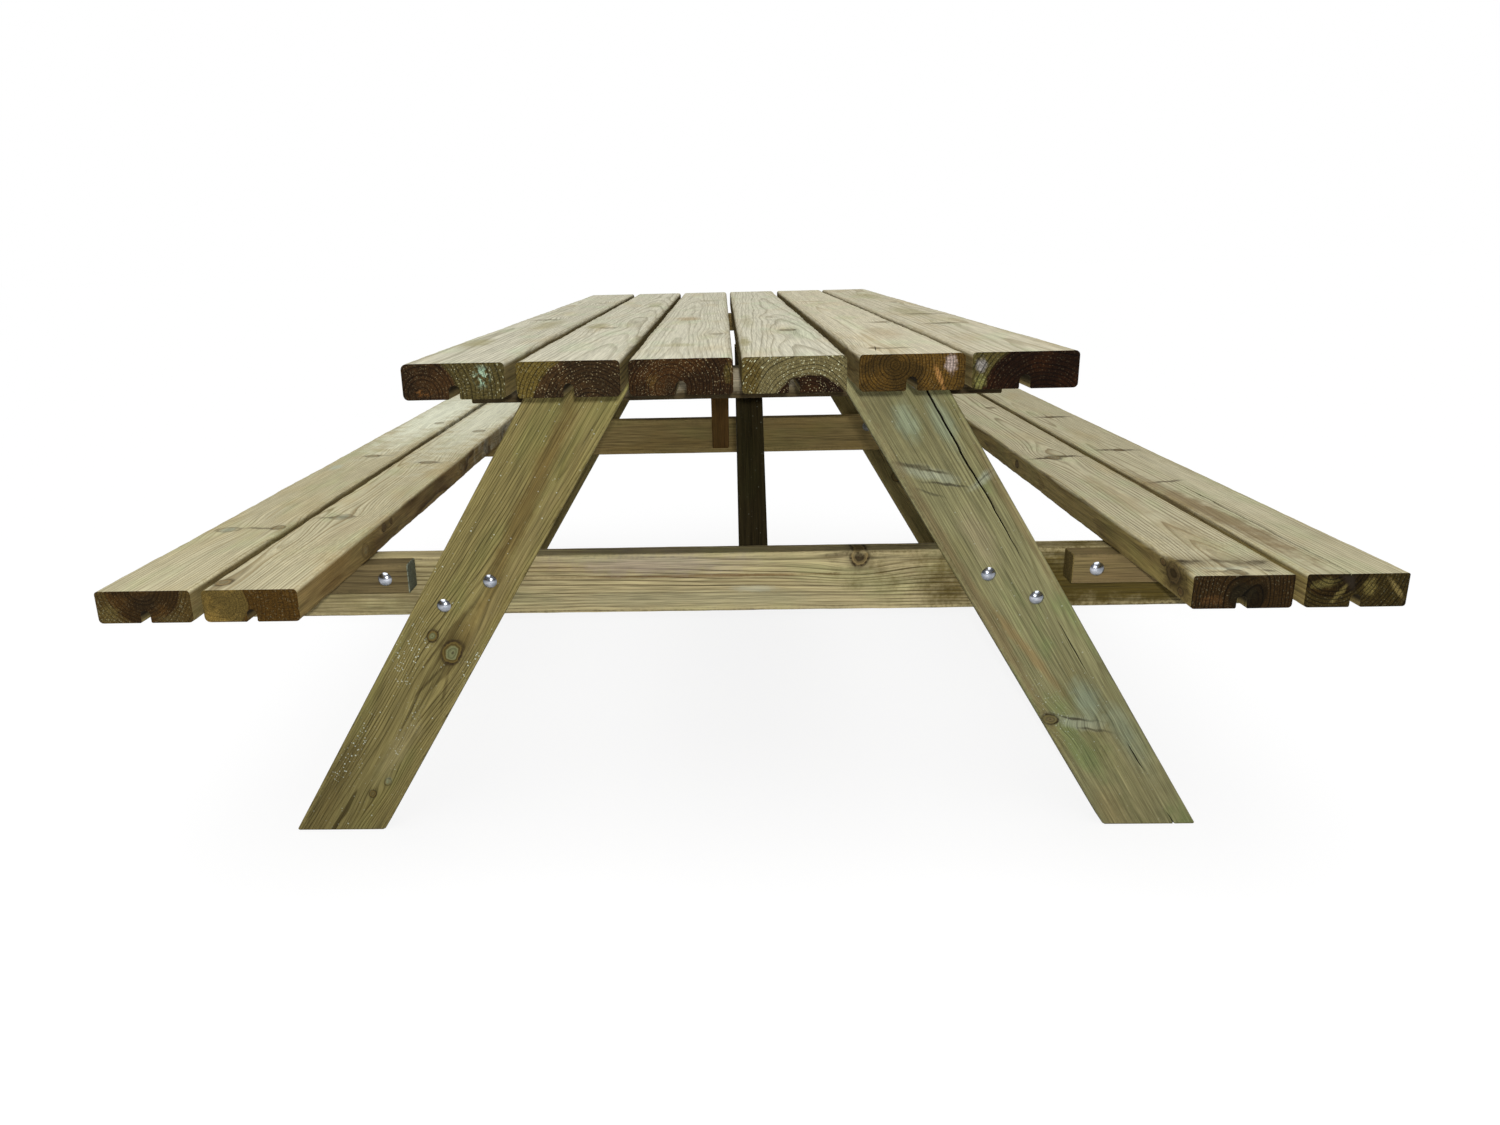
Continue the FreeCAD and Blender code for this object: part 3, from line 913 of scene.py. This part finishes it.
BOARD_LOOKS = {
    "tabletop_board_1": Look(
        11, (-35, -14), 4.6, bleached=TOP, heart=40, end_inner=(0.0125, 0.0064, 0.0022),
        end_outer=(0.037, 0.029, 0.0088), sap_specks=0.5, end_lines=0.8,
        knots=[Knot(-13, -160, 12, dark=0.12, long=0.8), Knot(20, 420, 9, dark=0.15)],
        stains=[Stain(-30, -640, 24, 90, OLIVE, 0.72), Stain(10, -300, 30, 150, OLIVE, 0.51),
                Stain(-13, -160, 34, 20, GREY_LINE, 0.5, 8)],
        end_stains=[Stain(32, 5, 12, 15, (0.17, 0.24, 0.165), 0.95, specks=True),
                    Stain(-35, -12, 12, 6, (0.12, 0.05, 0.012), 0.6, specks=True)]),
    "tabletop_board_2": Look(
        12, (25, -40), 4.2, wobble=7, taper=15, line=0.36, bleached=TOP, heart=69,
        end_inner=(0.0140, 0.0078, 0.0028), end_outer=(0.052, 0.037, 0.0080), end_specks=1.0,
        sap_specks=0.2, knots=[Knot(-8, -395, 13, dark=0.12, long=1.2)],
        stains=[Stain(-28, -350, 22, 90, OLIVE, 0.72), Stain(25, 300, 25, 160, OLIVE, 0.43)]),
    "tabletop_board_3": Look(
        13, (-15, -11), 4.2, wobble=8, taper=14, line=0.38, bleached=TOP, heart=200,
        end_inner=(0.0112, 0.0052, 0.0014), end_specks=0.75, grain=0.6,
        knots=[Knot(38, -560, 9, dark=0.12)],
        stains=[Stain(-12, -220, 26, 80, TAN, 0.8), Stain(-12, -724, 30, 40, OLIVE, 0.51),
                Stain(11, 430, 34, 60, (0.30, 0.26, 0.17), 0.45)],
        end_stains=[Stain(-32, -4, 7, 9, (0.040, 0.022, 0.0050), 0.7),
                    Stain(52, 4, 6, 14, (0.034, 0.026, 0.0060), 0.7)]),
    "tabletop_board_4": Look(
        14, (17, -45), 4.0, wobble=8, taper=14, line=0.36, bleached=TOP, heart=45,
        end_inner=(0.0068, 0.0029, 0.0008), end_outer=(0.066, 0.055, 0.023), end_specks=1.0,
        sap_specks=1.0,
        knots=[Knot(16, -519, 10, dark=0.35, long=1.6), Knot(5, -216, 8, dark=0.2)],
        stains=[Stain(-50, -700, 10, 90, OLIVE, 0.8), Stain(-38, -300, 14, 200, OLIVE, 0.43)],
        end_stains=[Stain(-50, 0, 18, 32, (0.040, 0.028, 0.0060), 0.9)]),
    "tabletop_board_5": Look(
        15, (-19, 8), 3.3, wobble=7, bleached=TOP_WARM, heart=200,
        end_inner=(0.024, 0.0135, 0.0025), end_specks=0.2,
        knots=[Knot(-31, -824, 7, dark=0.35), Knot(38, -397, 8, dark=0.2)],
        cracks=[Crack([(-34, -870), (-27, -780)], [(-862, -792, 1.0)], 1.2, 4)],
        stains=[Stain(10, -600, 30, 120, TAN, 0.51), Stain(-16, 280, 40, 30, TAN, 0.58),
                Stain(34, -397, 30, 14, GREY_LINE, 0.7, -6),
                Stain(-8, -826, 30, 9, GREY_LINE, 0.6, 8)],
        end_stains=[Stain(42, 9, 8, 13, (0.19, 0.15, 0.13), 0.9),
                    Stain(30, -6, 4, 16, (0.20, 0.10, 0.03), 0.7, 20)]),
    "tabletop_board_6": Look(
        16, (25, -45), 4.6, wobble=7, bleached=TOP_DARK, heart=78,
        end_inner=(0.0052, 0.0018, 0.0004), end_outer=(0.035, 0.028, 0.0077), end_specks=0.15,
        knots=[Knot(2, -448, 9, dark=0.3), Knot(24, 183, 8, dark=0.3)],
        stains=[Stain(0, -150, 36, 200, OLIVE, 0.58), Stain(10, 500, 40, 200, OLIVE, 0.58),
                Stain(2, -448, 40, 14, GREY_LINE, 0.8, 6),
                Stain(10, -220, 44, 20, GREY_LINE, 0.6, -8)],
        end_stains=[Stain(-48, 6, 7, 9, (0.13, 0.12, 0.11), 0.8),
                    Stain(-48, -12, 7, 10, (0.085, 0.082, 0.024), 0.8)]),
    "left_outer_seat_board": Look(
        21, (0, 25), 4.6, wobble=7, bleached=SEAT, heart=46, end_inner=(0.0210, 0.0112, 0.0030),
        end_outer=(0.046, 0.029, 0.0077), end_specks=0.35, sap_specks=0.3, end_lines=0.6,
        knots=[Knot(-24, -612, 16, dark=0.12, long=0.8), Knot(44, -606, 9, dark=0.3),
               Knot(5, -52, 14, dark=0.15, long=0.9), Knot(31, 351, 10, dark=0.2)],
        stains=[Stain(-24, -612, 15, 18, BLUE_GREY, 0.6), Stain(-30, -160, 14, 30, BLUE_GREY, 0.5),
                Stain(20, -608, 36, 6, GREY_LINE, 0.7, -6),
                Stain(10, -52, 40, 8, GREY_LINE, 0.6, 8),
                Stain(0, -300, 30, 200, OLIVE, 0.3), Stain(-20, 300, 25, 200, OLIVE, 0.35),
                # painted sheen: the far part of this seat is made pale for the glare its top shows
                # at a low angle
                Stain(0, 520, 80, 620, (0.68, 0.69, 0.54), 0.9)],
        end_stains=[Stain(-44, -8, 16, 16, (0.075, 0.056, 0.017), 0.7),
                    Stain(2, 4, 24, 13, (0.013, 0.008, 0.0035), 0.6),
                    Stain(30, -14, 20, 5, (0.060, 0.044, 0.016), 0.5)]),
    "left_inner_seat_board": Look(
        22, (-38, 4), 4.8, wobble=8, bleached=SEAT, heart=34, end_inner=(0.072, 0.049, 0.0128),
        end_outer=(0.041, 0.021, 0.0036), end_specks=0.2, end_lines=0.35,
        early=(0.208, 0.145, 0.057), late=(0.068, 0.038, 0.013), brown=0.5, grain=1.0,
        knots=[Knot(-9, -548, 16, dark=0.12, long=0.9), Knot(6, -129, 14, dark=0.25, long=0.9),
               Knot(24, 226, 12, dark=0.2), Knot(-43, -868, 10, dark=0.35),
               Knot(8, -568, 5, dark=1.0, sideways=True), Knot(9, -532, 4, dark=1.0, sideways=True),
               Knot(-4, -655, 11, dark=0.05, sideways=True),
               Knot(4, -90, 9, dark=0.1, sideways=True),
               Knot(-11, 160, 8, dark=0.8, sideways=True)],
        stains=[Stain(-9, -548, 14, 18, BLUE_GREY, 0.6),
                Stain(-14, -548, 44, 6, GREY_LINE, 0.6, 6),
                Stain(10, -129, 36, 9, GREY_LINE, 0.7, -10),
                Stain(20, -650, 26, 140, TAN, 0.3), Stain(10, 60, 26, 200, OLIVE, 0.3),
                # painted sheen: the far part of this seat is made pale for the glare its top shows
                # at a low angle
                Stain(0, 520, 80, 760, (0.62, 0.62, 0.48), 0.8)]),
    "right_inner_seat_board": Look(
        23, (5, -2), 4.8, wobble=7, upper_radius=2.5, bleached=SEAT_DARK, **RIGHT_SEAT_SIDE,
        heart=22, end_inner=(0.0066, 0.0037, 0.0009), end_outer=(0.017, 0.0091, 0.0023),
        end_specks=0.12, grain=0.95,
        knots=[Knot(-4, -886, 13, dark=0.12, long=0.8), Knot(-6, -189, 15, dark=0.35, long=1.2),
               Knot(30, 420, 9, dark=0.3),
               Knot(6, -846, 12, dark=1.0, long=1.7, sideways=True, core=BLACK_CORE),
               Knot(-9, -868, 5, dark=1.0, long=1.5, sideways=True),
               Knot(11, -812, 4, dark=1.0, long=2.2, sideways=True),
               Knot(0, -146, 8, dark=0.8, sideways=True)],
        stains=[Stain(9, -741, 32, 130, DEEP_OLIVE, 0.5),
                Stain(-26, -196, 34, 8, CROSS_LINE, 0.9, 10),
                Stain(24, -180, 34, 8, CROSS_LINE, 0.9, -12),
                Stain(-24, -884, 20, 5, GREY_LINE, 0.55, 12),
                Stain(-58, -850, 10, 46, (0.070, 0.050, 0.018), 0.9),
                Stain(-58, -850, 10, 52, (0.020, 0.014, 0.006), 1.0, specks=True),
                Stain(34, -880, 13, 7, GREY_LINE, 0.8, -20),
                Stain(2, -878, 10, 4, GREY_LINE, 0.5, -30),
                Stain(-10, -872, 40, 10, BLUE_GREY, 0.3),
                Stain(0, -480, 24, 160, DEEP_OLIVE, 0.45)],
        end_stains=[Stain(0, -2, 20, 17, (0.0075, 0.0065, 0.0030), 0.6),
                    Stain(-34, -10, 15, 8, (0.050, 0.024, 0.0075), 0.6)]),
    "right_outer_seat_board": Look(
        24, (-30, 36), 4.8, wobble=10, upper_radius=2.5, bleached=SEAT_DARK, **RIGHT_SEAT_SIDE,
        heart=44, end_inner=(0.0095, 0.0055, 0.0011), end_outer=(0.022, 0.015, 0.0034),
        end_specks=0.12,
        knots=[Knot(3, -129, 9, dark=0.4), Knot(-5, 268, 8, dark=0.4)],
        cracks=[Crack([(-28, -434), (-20, -520), (2, -668), (-5, -868), (-8, -900)],
                      [(-930, -400, 1.0)], 4.6, 12)],
        stains=[Stain(-40, -600, 26, 360, (0.190, 0.140, 0.072), 0.85, 3),
                Stain(3, -129, 56, 9, CROSS_LINE, 0.9, -5), Stain(0, 268, 50, 14, CROSS_LINE, 0.8),
                Stain(-14, -400, 40, 8, CROSS_LINE, 0.7, 14),
                Stain(24, -420, 28, 340, (0.46, 0.42, 0.29), 0.6)],
        end_stains=[Stain(-38, 9, 19, 7, (0.080, 0.066, 0.020), 0.75, 8),
                    Stain(-20, -4, 4, 18, (0.085, 0.066, 0.020), 0.8, -35),
                    Stain(14, 4, 9, 12, (0.090, 0.070, 0.020), 0.8),
                    Stain(44, 2, 4, 20, (0.12, 0.090, 0.030), 0.8, 40)]),
}


def add_board(node, look):
    """A full-length board with a relief groove under its middle."""
    low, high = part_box(node)
    size = high - low
    data = timber_mesh(node, size.x, size.z, size.y, look, BOARD_RADIUS, BOARD_GROOVE)
    place = axes_at((low + high) / 2, (0, 1, 0), (0, 0, 1))
    finish_timber(data, place, node, look, size.z / 2 / MM)


# ---- the frame --------------------------------------------------------------------------------
LEG_WIDTH = 115 * MM
FOOT_CHAMFER = 3 * MM
FOOT_BEVEL = 2.5 * MM
RAIL_BEVEL = 1.0 * MM
ENDS = {"near": -1, "far": 1}
SIDES = {"left": -1, "right": 1}
LEG = dict(early=(0.196, 0.162, 0.061), late=(0.042, 0.029, 0.0090))
LEG_GREEN = dict(early=(0.196, 0.184, 0.090), late=(0.072, 0.060, 0.024))
RAIL = dict(early=(0.353, 0.298, 0.158), late=(0.037, 0.021, 0.0084))
BLOCK = dict(early=(0.124, 0.092, 0.041), late=(0.021, 0.012, 0.0050))
FAR_RAIL = dict(early=(0.279, 0.209, 0.084), late=(0.093, 0.060, 0.020))
FAR_LEG = dict(early=(0.198, 0.160, 0.063), late=(0.072, 0.052, 0.018))
GREENISH = (0.215, 0.250, 0.165)
SCAR = (0.29, 0.31, 0.22)
DARK_SEAM = (0.055, 0.050, 0.030)
KNOT_GREEN = (0.14, 0.15, 0.075)
LEG_LINE = (0.050, 0.035, 0.012)

LEG_LOOKS = {
    "near_left_leg": Look(
        31, (13, -14), 2.9, drift=60, wobble=6, taper=3, line=0.40, **LEG, grain=0.9, green=0.35,
        brown=0.35, specks=0.7,
        knots=[Knot(21, -49, 13, dark=0.8, long=1.45, core=KNOT_GREEN),
               Knot(-16, -41, 7, dark=0.8, core=KNOT_GREEN),
               Knot(16, -313, 5, dark=0.55, long=1.2), Knot(27, -284, 5, dark=0.1)],
        stains=[Stain(14, 190, 17, 260, (0.120, 0.084, 0.027), 0.85, 4.4),
                Stain(20, -34, 20, 66, (0.085, 0.058, 0.018), 0.7, 4),
                Stain(-40, -340, 24, 150, (0.110, 0.084, 0.030), 0.6),
                Stain(18, -235, 20, 80, (0.245, 0.205, 0.095), 0.6, -4),
                Stain(40, 120, 12, 240, (0.190, 0.150, 0.062), 0.6),
                Stain(12, -98, 3, 50, LEG_LINE, 0.7, -14),
                Stain(34, -100, 3, 50, LEG_LINE, 0.5, 16),
                Stain(-4, -70, 3, 40, LEG_LINE, 0.6, -8),
                Stain(27, -284, 6, 8, GREENISH, 0.8),
                Stain(-32, -80, 30, 60, PALE_SPECK, 0.9, specks=True),
                Stain(-38, -255, 18, 80, PALE_SPECK, 0.9, specks=True),
                Stain(50, -50, 10, 50, PALE_SPECK, 0.9, specks=True),
                Stain(14, -200, 16, 60, PALE_SPECK, 0.55, specks=True)]),
    "near_right_leg": Look(
        32, (52, -22), 3.4, wobble=8, line=0.35, **LEG_GREEN, grain=0.45, green=0.95, brown=0.6,
        specks=0.35,
        cracks=[Crack([(26, 340), (25.5, 310), (18, 205), (18, 80), (24, -60), (30, -260),
                       (31, -400)],
                      [(85, 520, 1.0), (-112, -15, 0.5), (-292, -238, 0.6), (-420, -368, 0.5)],
                      3.0, 10)],
        knots=[Knot(-46, -166, 7, dark=0.7, long=1.6, turn=50)],
        stains=[Stain(-20, 240, 12, 52, SCAR, 0.75, 44), Stain(38, 197, 26, 9, SCAR, 0.75, 8),
                Stain(-34, 262, 4, 34, DARK_SEAM, 0.9, 50),
                Stain(-14, 241, 2.5, 26, DARK_SEAM, 0.9, 50),
                Stain(-8, 216, 2.5, 40, DARK_SEAM, 0.9, 52),
                Stain(38, 198, 24, 2.2, DARK_SEAM, 0.6, 8),
                Stain(-30, 215, 2.2, 30, DARK_SEAM, 0.6, 40),
                Stain(0, 340, 75, 120, (0.140, 0.126, 0.060), 0.8),
                Stain(-14, -192, 13, 54, SCAR, 0.6, 46),
                Stain(-14, -184, 2.5, 50, DARK_SEAM, 0.9, 48),
                Stain(2, -216, 2.5, 40, DARK_SEAM, 0.8, 46),
                Stain(-26, -50, 8, 150, (0.20, 0.140, 0.060), 0.7, 9),
                Stain(-50, 60, 12, 320, (0.165, 0.125, 0.060), 0.75),
                Stain(52, 120, 7, 200, (0.165, 0.120, 0.055), 0.6),
                Stain(-5, 130, 22, 60, (0.225, 0.190, 0.110), 0.6),
                Stain(12, -170, 24, 50, GREENISH, 0.8), Stain(34, -260, 20, 90, GREENISH, 0.7),
                Stain(30, 290, 16, 60, GREENISH, 0.6), Stain(-10, 320, 20, 40, GREENISH, 0.7),
                Stain(-30, -340, 28, 60, (0.225, 0.180, 0.080), 0.7),
                Stain(10, -330, 60, 130, (0.270, 0.245, 0.120), 0.7),
                Stain(-36, -160, 24, 80, PALE_SPECK, 0.4, specks=True)]),
    "far_left_leg": Look(33, (20, -24), 3.0, **FAR_LEG, knots=[Knot(-15, 120, 10)]),
    "far_right_leg": Look(34, (-30, -30), 3.2, **FAR_LEG, knots=[Knot(20, -90, 10)]),
}


def add_leg(end_name, side_name):
    """A leaning leg, cut level at its foot and under the tabletop."""
    node = end_name + "_" + side_name + "_leg"
    end, side = ENDS[end_name], SIDES[side_name]
    look = LEG_LOOKS[node]
    low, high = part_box(node)
    size = high - low
    reach = math.hypot(size.x, size.z - FOOT_CHAMFER)
    lean = math.acos(LEG_WIDTH / reach) - math.atan2(size.z - FOOT_CHAMFER, size.x)
    grain = (-side * math.sin(lean), 0, math.cos(lean))
    middle = (low + high) / 2
    middle.x += side * FOOT_CHAMFER * math.tan(lean) / 2
    slope = side * end * math.tan(lean)
    data = timber_mesh(node, LEG_WIDTH, size.y, size.z / math.cos(lean), look,
                       low_slope=(slope, 0), high_slope=(slope, 0),
                       bevels=(FOOT_BEVEL, SAWN_BEVEL))
    finish_timber(data, axes_at(middle, grain, (0, end, 0)), node, look)


RAIL_LOOKS = {
    "near_seat_bearer": Look(
        41, (70, -30), 5.0, taper=8, line=0.38, **RAIL, grain=0.95, green=0.35,
        brown=0.25, end_outer=(0.070, 0.054, 0.022),
        knots=[Knot(34, -172, 13, dark=1.0, long=0.9, core=BLACK_CORE)],
        stains=[Stain(-24, 60, 16, 260, (0.285, 0.255, 0.145), 0.8),
                Stain(10, 60, 3, 300, (0.115, 0.062, 0.022), 0.7),
                Stain(26, 170, 12, 150, (0.150, 0.090, 0.034), 0.5),
                Stain(-22, 330, 20, 90, (0.27, 0.25, 0.13), 0.5),
                Stain(0, -560, 80, 420, (0.070, 0.049, 0.008), 0.95),
                Stain(0, 640, 75, 260, (0.225, 0.185, 0.085), 0.8),
                Stain(30, 120, 22, 170, (0.300, 0.255, 0.200), 0.6),
                Stain(-10, -20, 6, 40, (0.36, 0.36, 0.27), 0.5)]),
    "far_seat_bearer": Look(42, (-60, -20), 3.4, **FAR_RAIL, grain=0.9,
                            stains=[Stain(-35, 0, 5, 400, (0.075, 0.050, 0.018), 0.6)]),
    # painted shade and light: the near batten's wood is made near black for the shadow under the
    # boards' overhang, and the paler band along its upper part is where light through the grooves
    # and gaps falls
    "near_top_batten": Look(
        43, (-30, -30), 4.6, early=(0.060, 0.043, 0.020), late=(0.016, 0.010, 0.0045),
        stains=[Stain(6, 0, 20, 900, (0.220, 0.190, 0.130), 0.95)]),
    "far_top_batten": Look(44, (-30, -30), 3.2, **FAR_RAIL),
    "near_left_pivot_block": Look(
        45, (-20, -20), 4.6, **BLOCK, grain=1.0, end_outer=(0.110, 0.120, 0.088),
        knots=[Knot(-6, 110, 7, dark=0.4)],
        stains=[Stain(0, 0, 90, 260, (0.120, 0.092, 0.043), 0.6)]),
    "near_right_pivot_block": Look(
        46, (-4, -56), 4.8, early=(0.152, 0.110, 0.049), late=BLOCK["late"], grain=1.0,
        end_outer=(0.100, 0.074, 0.026)),
    "far_left_pivot_block": Look(47, (-20, -25), 3.4, **BLOCK),
    "far_right_pivot_block": Look(48, (-25, 20), 3.4, **BLOCK),
}


def add_rail(node, look):
    """A level rail across the table, its best face outwards."""
    low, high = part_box(node)
    size = high - low
    end = ENDS[node.split("_")[0]]
    data = timber_mesh(node, size.z, size.y, size.x, look, bevels=(RAIL_BEVEL, RAIL_BEVEL))
    place = axes_at((low + high) / 2, (end, 0, 0), (0, end, 0))
    finish_timber(data, place, node, look)


BRACE_DEPTH = 40 * MM
BRACE_LOOKS = {
    # painted shade: the near brace is made near black for the shade it stands in under the
    # tabletop, while the far brace shows the same wood in its own brown
    "near_brace": Look(51, (-20, -20), 3.2, early=(0.024, 0.018, 0.007),
                       late=(0.014, 0.010, 0.004), green=0.6, brown=0.2, specks=0.25),
    "far_brace": Look(52, (20, -25), 3.2, early=(0.116, 0.062, 0.017), late=(0.056, 0.029, 0.0087)),
}


def add_brace(node, look):
    """A brace at 45 degrees, cut upright at its foot and level at its head."""
    low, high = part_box(node)
    size = high - low
    end = ENDS[node.split("_")[0]]
    half_cut = BRACE_DEPTH / math.sqrt(2)
    foot = Vector(((low.x + high.x) / 2, low.y if end < 0 else high.y, low.z + half_cut))
    rise = size.z - half_cut
    head = foot + Vector((0, -end * rise, rise))
    data = timber_mesh(node, size.x, BRACE_DEPTH, (head - foot).length, look,
                       low_slope=(0, 1), high_slope=(0, -1))
    place = axes_at((foot + head) / 2, (0, -end, 1), (0, end, 1))
    finish_timber(data, place, node, look)


# ---- steel ------------------------------------------------------------------------------------
BOLT_RADIUS = 4 * MM
BOLT_HEAD_RADIUS = 10 * MM
BOLT_HEAD_HEIGHT = 4.6 * MM
BOLT_PITCH = 1.25 * MM
BOLT_THREAD_LENGTH = 22 * MM
SCREW_PITCH = 2.6 * MM
SCREW_POINT_LENGTH = 6 * MM
SCREW_PLAIN_LENGTH = 22 * MM
THREAD_DEPTH = 0.55 * MM
DRIVE_RADIUS = 2.0 * MM
DRIVE_LOBE = 0.4 * MM
DRIVE_DEPTH = 1.9 * MM
DOME_STEPS = 12
STEEL_EDGE_DEGREES = 35
BOLT_SIDES = 32
SCREW_SIDES = 18


def thread(start, end, pitch, radius):
    """Ridges and roots, as (z, radius), between two places."""
    turns = int((end - start) / pitch)
    profile = []
    for turn in range(turns):
        z = start + turn * pitch
        profile += [(z, radius - THREAD_DEPTH), (z + pitch / 2, radius)]
    return profile


def bolt_profile(length):
    """A domed head, a plain shank and a threaded end."""
    dome = (BOLT_HEAD_RADIUS ** 2 + BOLT_HEAD_HEIGHT ** 2) / (2 * BOLT_HEAD_HEIGHT)
    widest = math.asin(BOLT_HEAD_RADIUS / dome)
    profile = [(0, 0)]
    for step in range(1, DOME_STEPS + 1):
        angle = widest * step / DOME_STEPS
        profile.append((dome * (1 - math.cos(angle)), dome * math.sin(angle)))
    plain_end = length - BOLT_THREAD_LENGTH
    profile += [(BOLT_HEAD_HEIGHT, BOLT_RADIUS), (plain_end, BOLT_RADIUS)]
    profile += thread(plain_end + BOLT_PITCH, length - BOLT_PITCH, BOLT_PITCH, BOLT_RADIUS)
    return profile + [(length, BOLT_RADIUS - 1 * MM), (length, 0)]


def screw_profile(length):
    """A countersunk head with a six-lobed recess, a plain shank, a thread and a point."""
    point = length - SCREW_POINT_LENGTH
    core = SCREW_RADIUS - THREAD_DEPTH
    profile = [(DRIVE_DEPTH, 0), (DRIVE_DEPTH, DRIVE_RADIUS, DRIVE_LOBE),
               (0, DRIVE_RADIUS, DRIVE_LOBE), (0, SCREW_HEAD_RADIUS), (SCREW_HEAD_HEIGHT, core),
               (SCREW_PLAIN_LENGTH, core)]
    profile += thread(SCREW_PLAIN_LENGTH + SCREW_PITCH / 2, point, SCREW_PITCH, SCREW_RADIUS)
    return profile + [(point, core), (length, 0)]


def add_fasteners(node, profile, sides):
    """Every bolt or screw of a node, turned in detail along its line."""
    shape = bmesh.new()
    for start, direction, length in fastener_lines(node):
        lathe(shape, pointing(start, direction), profile(length), sides)
    bmesh.ops.recalc_face_normals(shape, faces=shape.faces)
    for face in shape.faces:
        face.smooth = True
    for edge in shape.edges:
        edge.smooth = edge.calc_face_angle(0) < math.radians(STEEL_EDGE_DEGREES)
    data = bpy.data.meshes.new(node + "_turned")
    shape.to_mesh(data)
    shape.free()
    stand_in(data, node, "_turned", bright_zinc)


# ---- build ------------------------------------------------------------------------------------
add_camera()
add_floor()
add_world()
add_lights()
bpy.context.scene.view_settings.view_transform = "Standard"

for node, look in BOARD_LOOKS.items():
    add_board(node, look)
for end_name in ENDS:
    for side_name in SIDES:
        add_leg(end_name, side_name)
for node, look in RAIL_LOOKS.items():
    add_rail(node, look)
for node, look in BRACE_LOOKS.items():
    add_brace(node, look)

bright_zinc = zinc_material("bright_zinc", (0.34, 0.37, 0.42), (0.50, 0.52, 0.57), 0.15)
# painted shade: a darker copy of the zinc for the nuts and washers, which sit in shadow under the
# table
dull_zinc = zinc_material("dull_zinc", (0.13, 0.13, 0.12), (0.24, 0.24, 0.22), 0.30)
for node, cad in frame["nodes"].items():
    if node.endswith("_bolts"):
        add_fasteners(node, bolt_profile, BOLT_SIDES)
    elif node.endswith("_screws"):
        add_fasteners(node, screw_profile, SCREW_SIDES)
    elif node.endswith(("_washers", "_nuts")):
        cad.data.materials.clear()
        cad.data.materials.append(dull_zinc)
